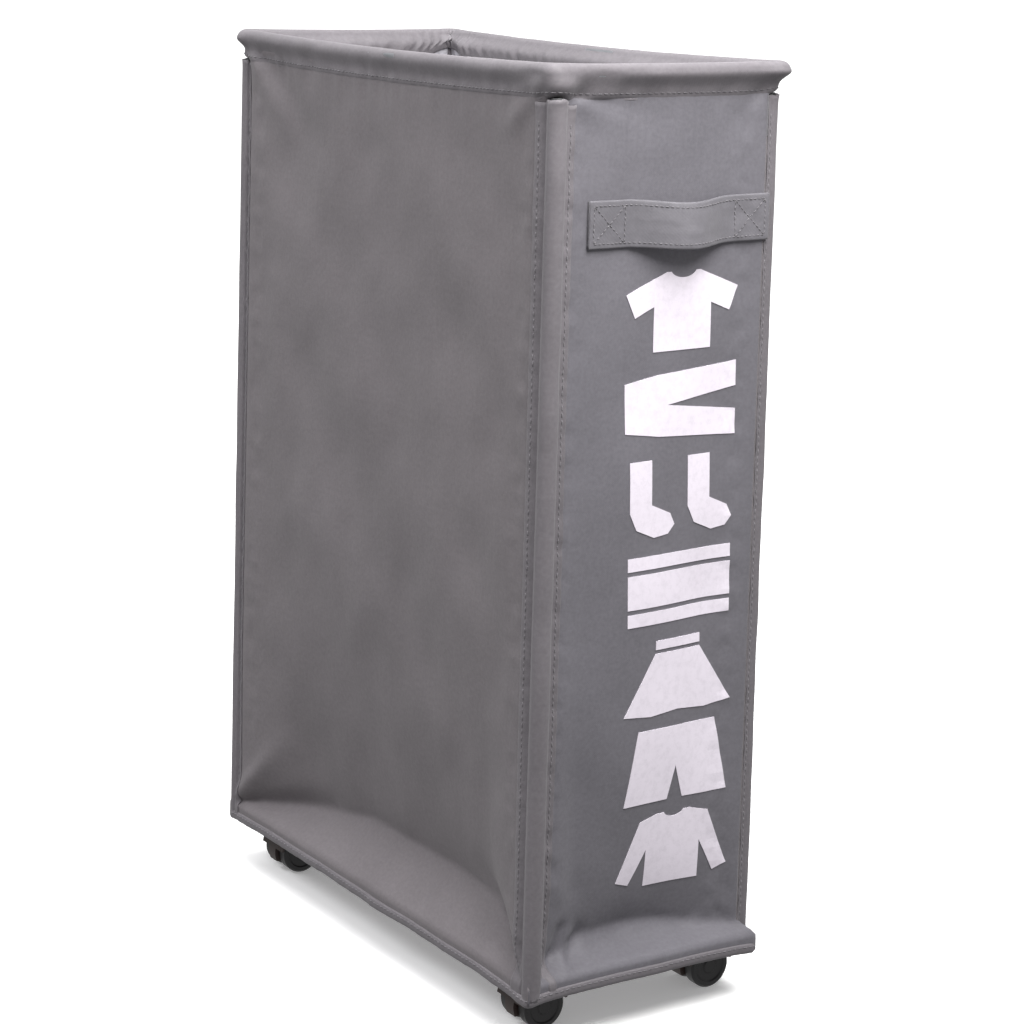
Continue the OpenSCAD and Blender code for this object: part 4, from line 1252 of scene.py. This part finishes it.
class SORTER_OT_hardware(bpy.types.Operator):
    """Finishes of the board, poles, wire and casters"""

    bl_idname = "sorter.hardware"
    bl_label = "Hardware Finishes"

    def execute(self, context):
        finishes = {
            "board": board_finish("Pressed board", grey(92, 84, 78)),
            "rim_wire": metal_finish("Rim wire", grey(190, 192, 196), 0.3),
            "ferrule_steel": metal_finish("Ferrule steel", grey(170, 172, 176), 0.4),
            # The poles' real colour is unknown: this dark grey is partly painted shade, so that a pole
            # showing in the hem's notch reads as a dark gap.
            "pole_tube": metal_finish("Pole tube", grey(74, 74, 78), 0.45),
            "plug_plastic": plastic_finish("Plug plastic", grey(44, 44, 46), 0.5, 0.1),
            "caster_plate": metal_finish("Caster plate", grey(84, 84, 88), 0.45),
            "bright_steel": metal_finish("Bright steel", grey(186, 188, 192), 0.28),
            "caster_hood": plastic_finish("Hood plastic", colours().hood, 0.4, 0.25),
            "wheel_plastic": plastic_finish("Wheel plastic", colours().plastic, 0.38, 0.2),
        }
        starts = {
            "base_board": "board", "rim_wire": "rim_wire", "rim_ferrule": "ferrule_steel",
            "pole_cap": "plug_plastic", "pole_foot": "plug_plastic", "pole": "pole_tube",
            "caster_plate": "caster_plate", "caster_hood": "caster_hood", "caster_": "bright_steel",
            "wheel": "wheel_plastic",
        }
        for name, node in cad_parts.items():
            slot = next((s for start, s in starts.items() if name.startswith(start)), None)
            if slot:
                paint(name, finishes[slot])
            elif not node.hide_render:
                raise RuntimeError(f"{name} has no finish")
        return {"FINISHED"}


FLOOR_R, FLOOR_CURVE = 5200.0, 1800.0  # flat part's radius and the rise at its edge
CAMERA_PLACE = (1.3494, -0.8796, 0.65)
CAMERA_RIGHT, CAMERA_BACK = (0.5495, 0.8351, 0.0266), (0.8106, -0.5406, 0.2252)
WHITE = (1.0, 1.0, 1.0)


class SORTER_OT_stage(bpy.types.Operator):
    """Pale floor that curves up far away, soft lights and the camera"""

    bl_idname = "sorter.stage"
    bl_label = "Stage"

    def execute(self, context):
        scene, stage = context.scene, context.scene.sorter_stage
        turn = np.linspace(0, math.tau, 96, endpoint=False)
        rise = np.linspace(0, math.pi / 2, 18)
        radius = np.concatenate([[0.01, 800.0, 2500.0], FLOOR_R + FLOOR_CURVE * np.sin(rise)])
        height = np.concatenate([[0.0, 0.0, 0.0], FLOOR_CURVE * (1 - np.cos(rise))])
        turn = turn[:, None]
        points = np.stack([radius * np.cos(turn), radius * np.sin(turn), height + 0 * turn], -1)
        floor = add_grid("pale_floor", points, closed_u=True, flip=True)
        finish = Finish("Pale floor", colours().floor, 0.9)
        grain = finish.noise(finish.place(False), 14.0, 3.0, 0.6)
        finish.set("Base Color", finish.mix(grain, shade(colours().floor, 0.985), colours().floor))
        finish.set("Emission Color", (*WHITE, 1.0))
        finish.set("Emission Strength", 0.22)
        floor.data.materials.append(finish.material)
        # The floor throws no light back up onto the cloth
        floor.visible_diffuse = floor.visible_glossy = False
        world = bpy.data.worlds.new("Soft sky")
        world.use_nodes = True
        sky = world.node_tree.nodes["Background"].inputs
        sky["Color"].default_value, sky["Strength"].default_value = (*WHITE, 1.0), stage.sky
        scene.world = world
        middle = (0.0, 0.0, 0.3)
        lights = (
            ("Top light", (0.2, -0.1, 2.2), middle, 2.0, stage.top, WHITE),
            ("Key light", (0.62, -0.05, 1.02), (0.17, 0.0, 0.5), 0.45, stage.key, (1.0, 0.99, 0.98)),
            ("Fill light", (-0.7, -1.7, 2.1), middle, 0.9, stage.fill, (0.98, 0.98, 1.0)),
            ("Backdrop light", (-2.4, 1.6, 3.2), (-4.6, 3.1, 0.0), 4.0, stage.back, WHITE),
        )
        for name, spot, aim, size, power, colour in lights:
            light = bpy.data.lights.new(name, "AREA")
            light.shape, light.size, light.energy, light.color = "DISK", size, power, colour
            lamp = link(name, light)
            lamp.location = spot
            lamp.rotation_euler = (Vector(aim) - Vector(spot)).to_track_quat("-Z", "Y").to_euler()
        camera = link("Camera", bpy.data.cameras.new("Camera"))
        right, back = Vector(CAMERA_RIGHT), Vector(CAMERA_BACK).normalized()
        right = (right - back * right.dot(back)).normalized()
        turned = Matrix((right, back.cross(right), back)).transposed()
        camera.matrix_world = Matrix.Translation(CAMERA_PLACE) @ turned.to_4x4()
        camera.data.lens, camera.data.sensor_width = stage.lens, 36.0
        camera.data.clip_start, camera.data.clip_end = 0.05, 60.0
        scene.camera = camera
        scene.view_settings.view_transform = "Standard"
        return {"FINISHED"}


class SORTER_PT_panel(bpy.types.Panel):
    """Lists the steps that build the sorter's looks"""

    bl_idname = "SORTER_PT_panel"
    bl_label = "Laundry Sorter"
    bl_space_type = "VIEW_3D"
    bl_region_type = "UI"
    bl_category = "Sorter"

    def draw(self, context):
        for step in STEPS:
            self.layout.operator(step.bl_idname)
        for key in GROUPS:
            group = getattr(context.scene, key)
            column = self.layout.column()
            for name in group.bl_rna.properties.keys():
                if name not in ("rna_type", "name"):
                    column.prop(group, name)


STEPS = (
    SORTER_OT_stage,
    SORTER_OT_walls,
    SORTER_OT_hem,
    SORTER_OT_sleeves,
    SORTER_OT_strap,
    SORTER_OT_motif,
    SORTER_OT_base,
    SORTER_OT_stitching,
    SORTER_OT_hardware,
)
GROUPS = {"sorter_cloth": SorterCloth, "sorter_finish": SorterFinish, "sorter_stage": SorterStage}
CLASSES = (*GROUPS.values(), *STEPS, SORTER_PT_panel)


def register():
    for cls in CLASSES:
        bpy.utils.register_class(cls)
    for name, group in GROUPS.items():
        setattr(bpy.types.Scene, name, bpy.props.PointerProperty(type=group))


def unregister():
    for name in reversed(GROUPS):
        delattr(bpy.types.Scene, name)
    for cls in reversed(CLASSES):
        bpy.utils.unregister_class(cls)


def main():
    register()
    for step in STEPS:
        group, name = step.bl_idname.split(".")
        getattr(getattr(bpy.ops, group), name)()


if __name__ == "__main__":
    main()
